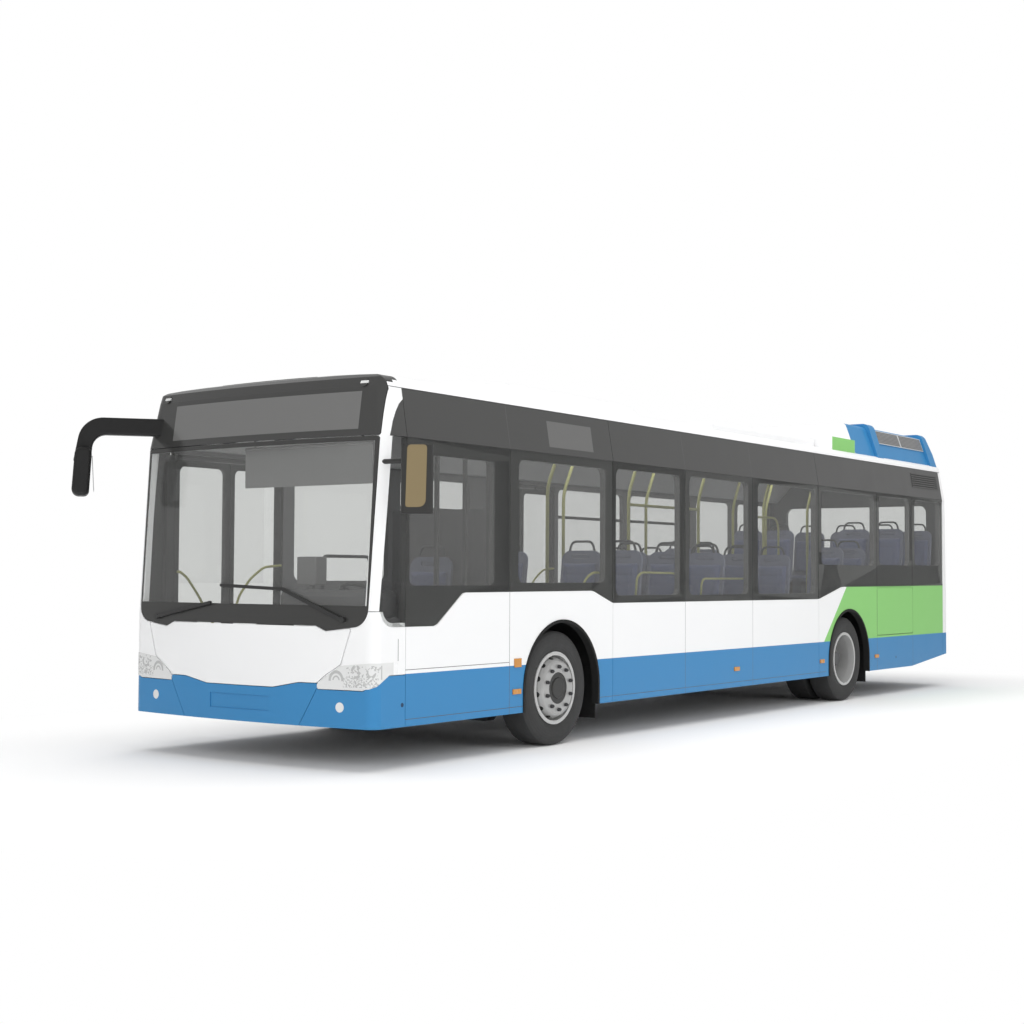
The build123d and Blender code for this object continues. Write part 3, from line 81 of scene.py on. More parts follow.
class Look:
    """A material with a Principled surface and short ways to add nodes to it."""

    def __init__(self, name, color, rough, metal=0.0, coat=0.0):
        self.material = bpy.data.materials.new(name)
        self.material.use_nodes = True
        self.nodes = self.material.node_tree.nodes
        self.links = self.material.node_tree.links
        self.surface = self.nodes["Principled BSDF"]
        self.shown = self.surface.outputs[0]
        self.coords = self.add("ShaderNodeTexCoord").outputs["Object"]
        self.tone = color
        self.put("Base Color", (*color, 1))
        self.put("Roughness", rough)
        self.put("Metallic", metal)
        self.put("Coat Weight", coat)
        self.put("Coat Roughness", 0.04)

    def put(self, socket, value):
        """Set or link one input of the surface."""
        self.join(value, self.surface.inputs[socket])

    def join(self, value, socket):
        """Link an output to a socket, or write a plain value into it."""
        if isinstance(value, bpy.types.NodeSocket):
            self.links.new(value, socket)
        else:
            socket.default_value = value

    def add(self, kind, **settings):
        """Add one node."""
        made = self.nodes.new(kind)
        for key, value in settings.items():
            setattr(made, key, value)
        return made

    def cover(self, share, above):
        """Lay another shader over what shows so far; share is how much of it is seen."""
        made = self.add("ShaderNodeMixShader")
        for value, socket in zip((share, self.shown, above), made.inputs):
            self.join(value, socket)
        self.shown = made.outputs[0]
        self.links.new(self.shown, self.nodes["Material Output"].inputs[0])

    def axes(self):
        """Sockets of the distance across, the station and the height of a point."""
        split = self.add("ShaderNodeSeparateXYZ")
        self.links.new(self.coords, split.inputs[0])
        x, y, z = split.outputs
        return x, self.plus(y, SHIFT), z

    def math(self, operation, *values):
        made = self.add("ShaderNodeMath", operation=operation)
        for value, socket in zip(values, made.inputs):
            self.join(value, socket)
        return made.outputs[0]

    def plus(self, first, second):
        return self.math("ADD", first, second)

    def minus(self, first, second):
        return self.math("SUBTRACT", first, second)

    def times(self, first, second):
        return self.math("MULTIPLY", first, second)

    def size(self, value):
        return self.math("ABSOLUTE", value)

    def wave(self, value, pitch):
        return self.math("SINE", self.times(value, CIRCLE / pitch))

    def more(self, value, limit):
        return self.math("GREATER_THAN", value, limit)

    def less(self, value, limit):
        return self.math("LESS_THAN", value, limit)

    def inverse(self, mask):
        """1 where the mask is 0."""
        return self.minus(1.0, mask)

    def both(self, *masks):
        """1 where every mask is 1."""
        result = masks[0]
        for mask in masks[1:]:
            result = self.times(result, mask)
        return result

    def either(self, *masks):
        """1 where any mask is 1."""
        result = masks[0]
        for mask in masks[1:]:
            result = self.math("MAXIMUM", result, mask)
        return result

    def near(self, value, centre, half):
        """1 within half of the centre, 0 outside."""
        return self.less(self.size(self.minus(value, centre)), half)

    def within(self, value, low, high):
        """1 between two limits."""
        return self.near(value, (low + high) / 2, (high - low) / 2)

    def field(self, first, second, spans):
        """1 in a rectangle, given as a span each way."""
        return self.both(self.within(first, *spans[0]), self.within(second, *spans[1]))

    def distance(self, first, second, centre):
        """Distance in a plane from a centre."""
        one = self.minus(first, centre[0])
        two = self.minus(second, centre[1])
        return self.math("SQRT", self.plus(self.times(one, one), self.times(two, two)))

    def spot(self, first, second, circle):
        """1 in a circle, given as its middle each way and its radius."""
        return self.less(self.distance(first, second, circle), circle[2])

    def blend(self, mask, first, second):
        """Colour that is the first where the mask is 0 and the second where it is 1."""
        made = self.add("ShaderNodeMix", data_type="RGBA")
        self.join(mask, made.inputs[0])
        # A mix node's colours are its inputs 6 and 7, and its output 2
        for value, socket in ((first, made.inputs[6]), (second, made.inputs[7])):
            self.join(value if isinstance(value, bpy.types.NodeSocket) else (*value, 1), socket)
        return made.outputs[2]

    def over(self, mask, color):
        """Lay a colour over the surface's own where the mask is 1."""
        self.tone = self.blend(mask, self.tone, color)
        self.put("Base Color", self.tone)

    def curve(self, value, rows):
        """Straight lines through a table of rows: value, result."""
        low, high = rows[0][0], rows[-1][0]
        least = min(result for _, result in rows)
        span = max(result for _, result in rows) - least
        made = self.add("ShaderNodeValToRGB")
        elements = made.color_ramp.elements
        while len(elements) < len(rows):
            elements.new(0.5)
        for element, (where, result) in zip(elements, rows):
            element.position = (where - low) / (high - low)
            element.color = (*grey((result - least) / span), 1)
        share = self.math("DIVIDE", self.minus(value, low), high - low)
        self.join(share, made.inputs[0])
        return self.math("MULTIPLY_ADD", made.outputs[0], span, least)

    def noise(self, scale, detail=3.0):
        made = self.add("ShaderNodeTexNoise")
        self.join(scale, made.inputs["Scale"])
        self.join(detail, made.inputs["Detail"])
        self.join(self.coords, made.inputs["Vector"])
        return made.outputs[0]

    def blotches(self, scale, level):
        """1 where a soft noise rises over a level."""
        return self.more(self.noise(scale, detail=1.0), level)

    def vary_rough(self, low, high, scale):
        """Let the roughness drift between two values."""
        made = self.add("ShaderNodeMapRange")
        # Inputs 3 and 4 are the range that comes out
        for value, index in ((self.noise(scale), 0), (low, 3), (high, 4)):
            self.join(value, made.inputs[index])
        self.put("Roughness", made.outputs[0])

    def bump(self, height, strength, distance):
        """Add relief on top of what the surface has."""
        made = self.add("ShaderNodeBump")
        self.join(strength, made.inputs["Strength"])
        self.join(distance, made.inputs["Distance"])
        self.join(height, made.inputs["Height"])
        normal = self.surface.inputs["Normal"]
        if normal.is_linked:
            self.join(normal.links[0].from_socket, made.inputs["Normal"])
        self.put("Normal", made.outputs[0])

    def facing_down(self):
        """1 on surfaces that look down."""
        split = self.add("ShaderNodeSeparateXYZ")
        geometry = self.add("ShaderNodeNewGeometry")
        self.links.new(geometry.outputs["True Normal"], split.inputs[0])
        return self.less(split.outputs[2], -0.2)


def dress(look, *nodes):
    """Give CAD nodes a material."""
    for node in nodes:
        NODES[node].data.materials.clear()
        NODES[node].data.materials.append(look.material)


def paint(name, color):
    """Glossy vehicle paint with a faint orange-peel surface."""
    look = Look(name, color, rough=0.34, coat=0.06)
    look.put("Specular IOR Level", 0.22)
    look.vary_rough(low=0.29, high=0.41, scale=3.0)
    look.bump(look.noise(160.0, detail=1.0), strength=0.04, distance=0.002)
    return look


def plain(name, color, rough, metal=0.0, grain=60.0, depth=0.0006, coat=0.0):
    """A surface with slightly varied roughness and a fine grain."""
    look = Look(name, color, rough, metal, coat)
    look.vary_rough(low=max(rough - 0.08, 0.02), high=min(rough + 0.1, 1), scale=grain / 12)
    look.bump(look.noise(grain * 8), strength=0.25, distance=depth)
    return look


# Lower edge of the glazed band: station, height
SILL = (
    (-2.188, 1.036), (-1.645, 1.033), (-1.311, 1.281), (0.523, 1.285),
    (0.847, 1.176), (5.137, 1.168), (5.749, 1.301), (8.945, 1.309),
)
BAND_REAR = 8.948
BAND_TOP_Z = 2.422
# Painted reflection: the band grows paler to the rear, below and above its top edge
BAND_REFLECTION_FADE = ((0.0, 0.0), (8.9, 1.0))
BAND_REAR_REFLECTION = (0.155, 0.155, 0.153)
BAND_REAR_REFLECTION_TOP = (0.085, 0.085, 0.084)
SKIRT_Z = 0.693
# Green field: foot and slant of its front edge, rear end
GREEN_FOOT = (5.257, 0.691)
GREEN_SLANT = 0.617 / 0.608
GREEN_REAR = 8.952
# Panel joints: stations, and the height of the level one
WALL_JOINTS = (-0.707, 2.134, 3.529, 6.768, 7.901)
LEVEL_JOINT_Z = 0.722
JOINT_HALF = 0.0022
# Painted shade along the crease: height, half width, rear end
CREASE_SHADE = (0.362, 0.002)
CREASE_SHADE_REAR = 5.3
SIDE_SIGN = ((-0.139, 0.536), (2.483, 2.702))
LOUVRE = ((7.965, 8.845), (2.556, 2.726))
# Plugs: station, height, radius
SKIRT_PLUG = (7.346, 0.441, 0.014)
BUMPER_PLUG = (-2.034, 0.470, 0.016)
# How deep the outside reaches in, and where the lining begins
SKIN_DEPTH = 0.07
LINING_DEPTH = 0.0595


def wall_paint():
    """White wall with blue skirt, green rear field, dark band and panel joints, painted reflection
    and crease shade.
    """
    look = paint("wall_paint", WHITE)
    x, station, z = look.axes()
    out = look.size(x)
    rise = look.minus(z, GREEN_FOOT[1])
    edge = look.math("MULTIPLY_ADD", rise, GREEN_SLANT, GREEN_FOOT[0])
    look.over(look.both(look.more(station, edge), look.less(station, GREEN_REAR)), GREEN)
    look.over(look.less(z, SKIRT_Z), BLUE)
    band = look.both(look.more(z, look.curve(station, SILL)), look.less(station, BAND_REAR))
    # painted reflection: the dark band grows paler towards the rear
    pale = look.blend(look.less(z, BAND_TOP_Z), BAND_REAR_REFLECTION_TOP, BAND_REAR_REFLECTION)
    look.over(band, look.blend(look.curve(station, BAND_REFLECTION_FADE), DARK, pale))
    look.over(look.field(station, z, SIDE_SIGN), (0.125, 0.125, 0.123))
    look.over(look.both(look.field(station, z, LOUVRE), look.more(x, 0.0)), grey(0.004))
    upright = look.either(*[look.near(station, where, JOINT_HALF) for where in WALL_JOINTS])
    ends = look.either(
        look.less(station, WALL_JOINTS[0]), look.within(station, *WALL_JOINTS[-2:]))
    level = look.both(look.near(z, LEVEL_JOINT_Z, JOINT_HALF), ends)
    # painted shade: a dark line along the crease, drawn with the real panel joints
    crease_shade = look.both(look.near(z, *CREASE_SHADE), look.less(station, CREASE_SHADE_REAR))
    lines = look.both(look.either(upright, level, crease_shade), look.more(out, HALF - SKIN_DEPTH))
    look.over(lines, grey(0.10))
    look.over(look.spot(station, z, SKIRT_PLUG), (0.02, 0.05, 0.10))
    look.over(look.less(out, HALF - LINING_DEPTH), (0.12, 0.12, 0.122))
    look.bump(look.inverse(lines), strength=0.6, distance=0.004)
    return look


# Front edge of the dark band on the pillar: height, station
PILLAR_EDGE = (
    (2.40, -2.205), (2.53, -2.147), (2.609, -2.098), (2.666, -2.053),
    (2.71, -1.996), (2.746, -1.974), (2.773, -1.934), (2.80, -1.85),
)
PILLAR_DARK_Z = 2.42
PILLAR_DEPTH = 0.10


def pillar_paint():
    """White front pillar, dark behind the curved edge of the window band."""
    look = paint("pillar_paint", WHITE)
    x, station, z = look.axes()
    behind = look.more(station, look.curve(z, PILLAR_EDGE))
    look.over(look.both(behind, look.more(z, PILLAR_DARK_Z)), DARK)
    look.over(look.less(look.size(x), HALF - PILLAR_DEPTH), LINING_GREY)
    return look


# Slit: station, half width, heights
SLIT = (-2.084, 0.004)
SLIT_Z = (0.79, 0.95)


def front_paint():
    """White front panels with the slit ahead of the side wall."""
    look = paint("front_white", WHITE)
    x, station, z = look.axes()
    slit = look.both(look.near(station, *SLIT), look.within(z, *SLIT_Z))
    slit = look.both(slit, look.more(look.size(x), FLANK_X))
    look.over(slit, grey(0.30))
    look.bump(look.inverse(slit), strength=0.5, distance=0.004)
    return look


def bumper_paint():
    """Blue bumper with a round plug on each flank."""
    look = paint("body_blue", BLUE)
    x, station, z = look.axes()
    plug = look.both(look.spot(station, z, BUMPER_PLUG), look.more(look.size(x), FLANK_X))
    look.over(plug, (0.015, 0.04, 0.09))
    return look


STRIP_REAR = -2.02
STRIP_X = 1.19


def roof_paint():
    """White roof, dark along the header and grey inside the cabin."""
    look = paint("roof_white", WHITE)
    x, station, _ = look.axes()
    look.over(look.both(look.less(station, STRIP_REAR), look.less(look.size(x), STRIP_X)), DARK)
    look.over(look.facing_down(), LINING_GREY)
    return look


# Stations just behind the front faces of block and pod, and the block's flanks
BLOCK_FRONT = 5.852
BLOCK_REAR = 6.499
POD_FRONT = 6.501
BLOCK_X = 1.10


def pod_paint():
    """Block with green flanks and blue rear pod, both white on the faces that look forwards."""
    look = paint("pod_paint", WHITE)
    x, station, _ = look.axes()
    flank = look.both(look.more(station, BLOCK_FRONT), look.more(look.size(x), BLOCK_X))
    look.over(flank, GREEN)
    look.over(look.more(station, BLOCK_REAR), WHITE)
    look.over(look.more(station, POD_FRONT), BLUE)
    return look


# Frame of the pod's two grilles: stations and heights of its bars
GRILLE_ENDS = (7.29, 8.055, 8.07, 8.83)
GRILLE_EDGES = (3.06, 3.225)
SLAT_PITCH = 0.018


def grille_look():
    """Dark grille with fine slats, painted shade in the gaps between them, in a thin pale frame."""
    look = plain("grille_black", grey(0.085), 0.5)
    _, station, z = look.axes()
    edges = [look.near(z, where, half=0.007) for where in GRILLE_EDGES]
    ends = [look.near(station, where, half=0.010) for where in GRILLE_ENDS]
    slats = look.wave(z, SLAT_PITCH)
    # painted shade: the gaps between the slats are drawn darker than the slats
    look.tone = look.blend(look.more(slats, 0.3), grey(0.24), grey(0.11))
    look.over(look.either(*edges, *ends), (0.62, 0.63, 0.63))
    look.bump(slats, strength=0.6, distance=0.004)
    return look


def glass(name, tint, shine):
    """Tinted pane: clear straight through, with an even share of mirror reflection."""
    look = Look(name, FRONT_DARK, rough=0.12)
    clear = look.add("ShaderNodeBsdfTransparent")
    look.join((*tint, 1), clear.inputs[0])
    mirror = look.add("ShaderNodeBsdfGlossy")
    look.join(0.03, mirror.inputs["Roughness"])
    look.shown = clear.outputs[0]
    look.cover(shine, mirror.outputs[0])
    return look


def add_film(look, share):
    """Lay a thin pale film over a pane."""
    film = look.add("ShaderNodeBsdfDiffuse")
    look.join((0.62, 0.62, 0.61, 1), film.inputs[0])
    look.cover(share, film.outputs[0])


# Clear part of the windscreen: half width, lower and upper edge
SCREEN_X = 1.195
SCREEN_LOW = 1.19
SCREEN_HIGH = 2.385
SCREEN_FILM = 0.045


def windscreen_glass():
    """Windscreen with its opaque printed edge."""
    look = glass("windscreen_glass", tint=(0.95, 0.955, 0.95), shine=0.055)
    x, _, z = look.axes()
    add_film(look, SCREEN_FILM)
    edge = look.either(
        look.more(look.size(x), SCREEN_X), look.less(z, SCREEN_LOW), look.more(z, SCREEN_HIGH))
    look.cover(edge, look.surface.outputs[0])
    return look


# Clear windows on the sides: stations, heights
WINDOWS = (
    ((-1.960, -0.915), (1.335, 2.310)), ((-0.580, 0.720), (1.355, 2.350)),
    ((0.900, 2.030), (1.240, 2.365)), ((2.220, 3.440), (1.235, 2.370)),
    ((3.660, 5.050), (1.235, 2.380)), ((5.215, 6.690), (1.550, 2.380)),
    ((6.850, 7.800), (1.560, 2.390)), ((7.990, 8.860), (1.565, 2.390)),
)
WINDOW_FILM = 0.055
PRINTED_PANE = (-2.26, -2.0)


def side_glass():
    """Side panes with a thin milky film, and a printed pane beside the front door."""
    look = glass("side_glass", tint=(0.87, 0.875, 0.87), shine=0.05)
    x, station, z = look.axes()
    panes = look.either(*[look.field(station, z, window) for window in WINDOWS])
    add_film(look, look.times(panes, WINDOW_FILM))
    printed = look.both(look.less(x, 0.0), look.within(station, *PRINTED_PANE))
    look.cover(printed, look.surface.outputs[0])
    return look


DISPLAY = ((-0.92, 1.04), (2.475, 2.755))


def header_look():
    """Dark header with the paler display window."""
    look = Look("header_dark", FRONT_DARK, 0.16, coat=0.3)
    x, _, z = look.axes()
    look.over(look.field(x, z, DISPLAY), (0.14, 0.14, 0.138))
    look.bump(look.noise(120.0, detail=1.0), strength=0.03, distance=0.002)
    look.vary_rough(low=0.12, high=0.22, scale=3.0)
    return look


LENS = (0.67, 0.675, 0.67)
# Marks in the headlamps, with painted shade round the reflector bowls, by distance round the corner
# and height
BOWLS = ((1.154, 0.717), (1.303, 0.721))
BOWL_SHADE_RING = (0.040, 0.011)
CRESCENT = (0.962, 0.652)
# Rings of the crescent: radius, half width, lowest height
CRESCENT_RINGS = ((0.062, 0.011, 0.648), (0.030, 0.006, 0.655))
# Upright line: place, half width, lowest height
LENS_LINE = (1.41, 0.006, 0.665)
# Mottled fields: scale and level of the noise, spans
MOTTLES = (
    (70.0, 0.52, ((1.03, 1.38), (0.606, 0.675))),
    (45.0, 0.57, ((1.06, 1.40), (0.675, 0.758))),
)
MARKS_Z = (0.595, 0.765)
# Behind this station the lamp's flank is white
LENS_END = -2.134
CHEEK_Z = (0.5, 0.9)
# Lamps on the header, dark but for a lens: height, half width
HEADER_LAMPS_Z = 2.70
HEADER_LENS = (2.822, 0.010)


def lamp_look():
    """Pale lenses, in the headlamps with painted shade round the bowls, a crescent and a mottled
    strip.
    """
    look = Look("lamp_lens", LENS, 0.14, coat=0.5)
    x, station, z = look.axes()
    along = look.plus(look.size(x), look.plus(station, NOSE))
    marks = []
    for bowl in BOWLS:
        # painted shade: broken grey rings round the reflector bowls
        ring = look.near(look.distance(along, z, bowl), *BOWL_SHADE_RING)
        marks.append(look.both(ring, look.blotches(38.0, 0.47)))
    away = look.distance(along, z, CRESCENT)
    lines = [(away, *row) for row in CRESCENT_RINGS] + [(along, *LENS_LINE)]
    for value, where, half, lowest in lines:
        marks.append(look.both(look.near(value, where, half), look.more(z, lowest)))
    for scale, level, spans in MOTTLES:
        marks.append(look.both(look.blotches(scale, level), look.field(along, z, spans)))
    marks_and_bowl_shade = look.both(look.either(*marks), look.within(z, *MARKS_Z))
    look.over(marks_and_bowl_shade, (0.43, 0.432, 0.43))
    look.over(look.both(look.more(station, LENS_END), look.within(z, *CHEEK_Z)), WHITE)
    beside = look.inverse(look.near(z, *HEADER_LENS))
    look.over(look.both(look.more(z, HEADER_LAMPS_Z), beside), FRONT_DARK)
    look.bump(look.inverse(marks_and_bowl_shade), strength=0.4, distance=0.004)
    return look


SIDEWALL_PITCH = 0.022
TREAD_RADIUS = 0.462
TREAD_BLOCKS = 72
GROOVE_PITCH = 0.052


def tyre_look(name, axle):
    """Black rubber with rings on the sidewall and blocks on the tread."""
    look = Look(name, grey(0.036), 0.78)
    look.vary_rough(low=0.68, high=0.88, scale=14.0)
    x, station, z = look.axes()
    radius = look.distance(station, z, (axle, HUB_Z))
    angle = look.math("ARCTAN2", look.minus(z, HUB_Z), look.minus(station, axle))
    cuts = look.more(look.wave(angle, CIRCLE / TREAD_BLOCKS), 0.75)
    grooves = look.more(look.wave(x, GROOVE_PITCH), 0.7)
    tread = look.both(look.more(radius, TREAD_RADIUS), look.either(cuts, grooves))
    look.bump(look.wave(radius, SIDEWALL_PITCH), strength=0.12, distance=0.004)
    look.bump(look.inverse(tread), strength=0.8, distance=0.008)
    look.bump(look.noise(300.0), strength=0.3, distance=0.001)
    return look


RIM_METAL = 0.5
RIM_HUB_RADIUS = 0.112
RIM_RING = (0.118, 0.006)


def rim_look(name, axle):
    """Painted steel rim with a dark hub and a grey ring round it."""
    look = plain(name, (0.52, 0.52, 0.515), 0.36, metal=RIM_METAL, grain=40.0)
    _, station, z = look.axes()
    radius = look.distance(station, z, (axle, HUB_Z))
    hub = look.less(radius, RIM_HUB_RADIUS)
    look.over(hub, (0.055, 0.056, 0.058))
    look.over(look.near(radius, *RIM_RING), (0.30, 0.30, 0.31))
    look.put("Metallic", look.times(look.inverse(hub), RIM_METAL))
    return look


def mirror_look():
    """Dark mirror housing on the left, black arm and housing on the right."""
    look = plain("mirror_black", (0.024, 0.024, 0.023), 0.5)
    look.over(look.less(look.axes()[0], 0.0), grey(0.006))
    return look


THREAD_PITCH = 0.006


def pad_look():
    """Woven blue seat cloth with a small check and flecks."""
    look = Look("pad_cloth", (0.09, 0.105, 0.21), 0.92)
    x, station, z = look.axes()
    warp = look.wave(x, THREAD_PITCH)
    weft = look.wave(look.plus(station, z), THREAD_PITCH)
    weave = look.times(warp, weft)
    check = look.more(weave, 0.25)
    look.tone = look.blend(check, (0.085, 0.100, 0.195), (0.105, 0.122, 0.225))
    look.over(look.blotches(60.0, 0.62), (0.13, 0.14, 0.20))
    look.put("Sheen Weight", 0.25)
    look.vary_rough(low=0.85, high=0.97, scale=20.0)
    look.bump(weave, strength=0.35, distance=0.0015)
    return look


WALL = wall_paint()
FRONT = front_paint()
CLEAR = side_glass()
BLACK = plain("black_plastic", grey(0.022), 0.45)
STEEL = plain("frame_steel", (0.05, 0.05, 0.055), 0.55)
RAIL = plain("rail_olive", OLIVE, 0.35, coat=0.2)
LINING = plain("lining_grey", grey(0.42), 0.6)
FLOOR = plain("floor_covering", (0.16, 0.165, 0.175), 0.7, grain=120.0, depth=0.001)
SHELL = plain("seat_shell", (0.145, 0.155, 0.215), 0.5)
DASH = plain("dash_plastic", (0.075, 0.075, 0.077), 0.6, grain=90.0, depth=0.001)
TUBE = plain("tube_dark", (0.045, 0.045, 0.048), 0.5)
MIRROR = plain("mirror_silver", (0.80, 0.81, 0.82), 0.06, metal=1.0, depth=0.00005)
TAN = plain("mirror_cover_tan", (0.215, 0.168, 0.092), 0.5)
TAN.put("Specular IOR Level", 0.25)
RUBBER = plain("seal_rubber", grey(0.02), 0.8)
LAMP = lamp_look()

dress(WALL, "left_wall", "right_wall", "rear_wall", "engine_hatch", "engine_flap")
dress(pillar_paint(), "a_pillars")
dress(FRONT, "front_corners", "front_flap")
dress(roof_paint(), "roof")
dress(paint("unit_white", WHITE), "roof_units")
dress(pod_paint(), "roof_pod")
dress(grille_look(), "pod_grilles")
dress(BLACK, "steering_wheel", "wipers")
dress(mirror_look(), "mirrors")
dress(plain("louvre_grey", (0.10, 0.10, 0.098), 0.8), "louvre")
dress(plain("arch_black", grey(0.009), 0.85), "arch_lips")
dress(bumper_paint(), "front_bumper", "rear_bumper")
dress(header_look(), "header_panel")
dress(windscreen_glass(), "windscreen")
dress(CLEAR, "left_glazing", "right_glazing", "rear_window")
dress(LAMP, "front_lamps")
dress(plain("lens_red", (0.42, 0.012, 0.010), 0.18, coat=0.6), "tail_lamps")
dress(plain("lens_amber", (0.52, 0.215, 0.025), 0.25, coat=0.4), "marker_lamps")
dress(plain("black_sheet", grey(0.008), 0.8), "wheel_boxes")
dress(plain("black_rubber", grey(0.007), 0.9), "mud_flaps")
dress(FLOOR, "low_floor", "rear_floor")
dress(STEEL, "underframe", "front_axle", "rear_axle", "knuckle_left", "knuckle_right")
dress(plain("cast_iron", grey(0.08), 0.7, metal=0.3), "engine")
dress(DASH, "dashboard", "driver_cab")
dress(SHELL, "seat_bases", "seat_backs")
dress(LINING, "ceiling_coves")
dress(tyre_look("front_rubber", 0.0), "front_tyre_left", "front_tyre_right")
dress(tyre_look("rear_rubber", REAR_AXLE), "rear_tyres_left", "rear_tyres_right")
dress(rim_look("front_rim_paint", 0.0), "front_rim_left", "front_rim_right")
dress(rim_look("rear_rim_paint", REAR_AXLE), "rear_rims_left", "rear_rims_right")

LEAF_FRAME = 0.047
for leaf in LEAVES:
    dress(STEEL, "door_arm_" + leaf)
    dress(BLACK, "door_leaf_" + leaf)
    door = NODES["door_leaf_" + leaf].data
    door.materials.append(CLEAR.material)
    low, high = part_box("door_leaf_" + leaf)
    for polygon in door.polygons:
        inside = low.y + LEAF_FRAME < polygon.center.y < high.y - LEAF_FRAME
        inside = inside and low.z + LEAF_FRAME < polygon.center.z < high.z - LEAF_FRAME
        polygon.material_index = 1 if inside else 0


def at(x, station, z):
    """A point given from the front axle, in the frame's axes."""
    return Vector((x, station - SHIFT, z))


def rounded(start, corner, end, steps=6):
    """Points of a curve from start to end that the corner pulls outwards."""
    shares = [step / steps for step in range(steps + 1)]
    return [start.lerp(corner, part).lerp(corner.lerp(end, part), part) for part in shares]


def bent(points, radius):
    """The points with each inner corner rounded."""
    result = [points[0]]
    for before, corner, after in zip(points, points[1:], points[2:]):
        room = min((before - corner).length, (after - corner).length)
        cut = min(radius, 0.45 * room)
        start = corner + (before - corner).normalized() * cut
        end = corner + (after - corner).normalized() * cut
        result += rounded(start, corner, end)
    return result + [points[-1]]


def bridge(mesh, first, second, smooth=False):
    """Join two closed rings of points by a band of faces."""
    for index in range(len(first)):
        after = (index + 1) % len(first)
        face = mesh.faces.new((first[index], first[after], second[after], second[index]))
        face.smooth = smooth


def add_tube(mesh, points, radius, sides=12):
    """Add a closed tube along the points, round if it has more than six sides."""
    rings = []
    side = None
    for index, point in enumerate(points):
        ahead = points[min(index + 1, len(points) - 1)] - points[max(index - 1, 0)]
        ahead.normalize()
        side = ahead.orthogonal() if side is None else side - ahead * side.dot(ahead)
        side.normalize()
        other = ahead.cross(side)
        ring = []
        for count in range(sides):
            angle = CIRCLE * count / sides
            offset = math.cos(angle) * side + math.sin(angle) * other
            ring.append(mesh.verts.new(point + radius * offset))
        rings.append(ring)
    for first, second in zip(rings, rings[1:]):
        bridge(mesh, first, second, smooth=sides > 6)
    mesh.faces.new(rings[0][::-1])
    mesh.faces.new(rings[-1])


def add_block(mesh, size, place, edge=0.004, segments=2):
    """Add a box with round edges; place is the matrix of its middle."""
    made = bmesh.ops.create_cube(mesh, size=1.0, matrix=place @ Matrix.Diagonal((*size, 1)))
    edges = {line for corner in made["verts"] for line in corner.link_edges}
    bmesh.ops.bevel(
        mesh, geom=list(edges), offset=edge, segments=segments, affect="EDGES", profile=0.5)


def add_plate(mesh, corners, depth, place):
    """Add a flat plate with rounded corners, standing across its own Y axis."""
    spots = [Vector((x, 0, z)) for x, z, _ in corners]
    outline = []
    for index, (_, _, radius) in enumerate(corners):
        corner = spots[index]
        before = corner + (spots[index - 1] - corner).normalized() * radius
        after = corner + (spots[(index + 1) % len(spots)] - corner).normalized() * radius
        outline += rounded(before, corner, after)
    half = Vector((0, depth / 2, 0))
    near = [mesh.verts.new(place @ (spot - half)) for spot in outline]
    far = [mesh.verts.new(place @ (spot + half)) for spot in outline]
    mesh.faces.new(near)
    mesh.faces.new(far)
    bridge(mesh, near, far)
    bmesh.ops.recalc_face_normals(mesh, faces=mesh.faces)


def put_in_scene(name, data):
    """Make an object of mesh, lamp or camera data."""
    made = bpy.data.objects.new(name, data)
    scene.collection.objects.link(made)
    return made


def mesh_data(name, mesh):
    """Mesh data of what was built, which is then freed."""
    data = bpy.data.meshes.new(name)
    mesh.to_mesh(data)
    mesh.free()
    return data


def riding(name, data, look, body="bus_body"):
    """Turn mesh data into an object that rides a body."""
    data.materials.append(look.material)
    made = put_in_scene(name, data)
    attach(made, body)
    return made


def piece(name, mesh, look, body="bus_body"):
    """Turn what was built into an object that rides a body."""
    return riding(name, mesh_data(name, mesh), look, body)


def tubes(name, paths, look, body="bus_body", radius=0.011, bend=0.08):
    """One object of several bent tubes, along paths of points from the front axle."""
    mesh = bmesh.new()
    for path in paths:
        add_tube(mesh, bent([at(*point) for point in path], bend), radius)
    piece(name, mesh, look, body)


def blocks(name, rows, look, body="bus_body", edge=0.004):
    """One object of several boxes; each row is its lowest and its highest corner."""
    mesh = bmesh.new()
    for low, high in rows:
        low, high = at(*low), at(*high)
        add_block(mesh, high - low, Matrix.Translation((low + high) / 2), edge)
    piece(name, mesh, look, body)


def surface(node, start, direction):
    """Where a line from a point first meets a CAD node."""
    found, place, _, _ = NODES[node].ray_cast(start, direction)
    if not found:
        raise ValueError("nothing of " + node + " lies there")
    return place


POST_X = 0.285
LOW_FOOT = 0.37
HIGH_FOOT = 0.70
# Grab posts: across, station, height of the foot
POSTS = (
    (POST_X, 1.26, LOW_FOOT), (POST_X, 2.72, LOW_FOOT), (POST_X, 4.18, LOW_FOOT),
    (POST_X, 5.76, HIGH_FOOT), (POST_X, 6.96, HIGH_FOOT),
    (-POST_X, 2.38, LOW_FOOT), (-POST_X, 4.02, LOW_FOOT),
    (-POST_X, 6.08, HIGH_FOOT), (-POST_X, 6.96, HIGH_FOOT),
)
POST_BEND_Z = 2.25
POST_LEAN = 0.55
POST_BAR_Z = 2.14


def grab_posts():
    """Posts from the floor that lean back to the ceiling, and a bar between two of them."""
    mesh = bmesh.new()
    for x, station, foot in POSTS:
        bend = at(x, station, POST_BEND_Z)
        head = surface("roof", bend, Vector((0, POST_LEAN, 1)))
        add_tube(mesh, bent([at(x, station, foot), bend, head], radius=0.10), radius=0.017)
    bar = [at(x, station, POST_BAR_Z) for x, station, _ in POSTS[1:3]]
    add_tube(mesh, bar, radius=0.015)
    posts = piece("grab_posts", mesh, RAIL)
    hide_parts("handrails")


HOOP_X = 1.2005
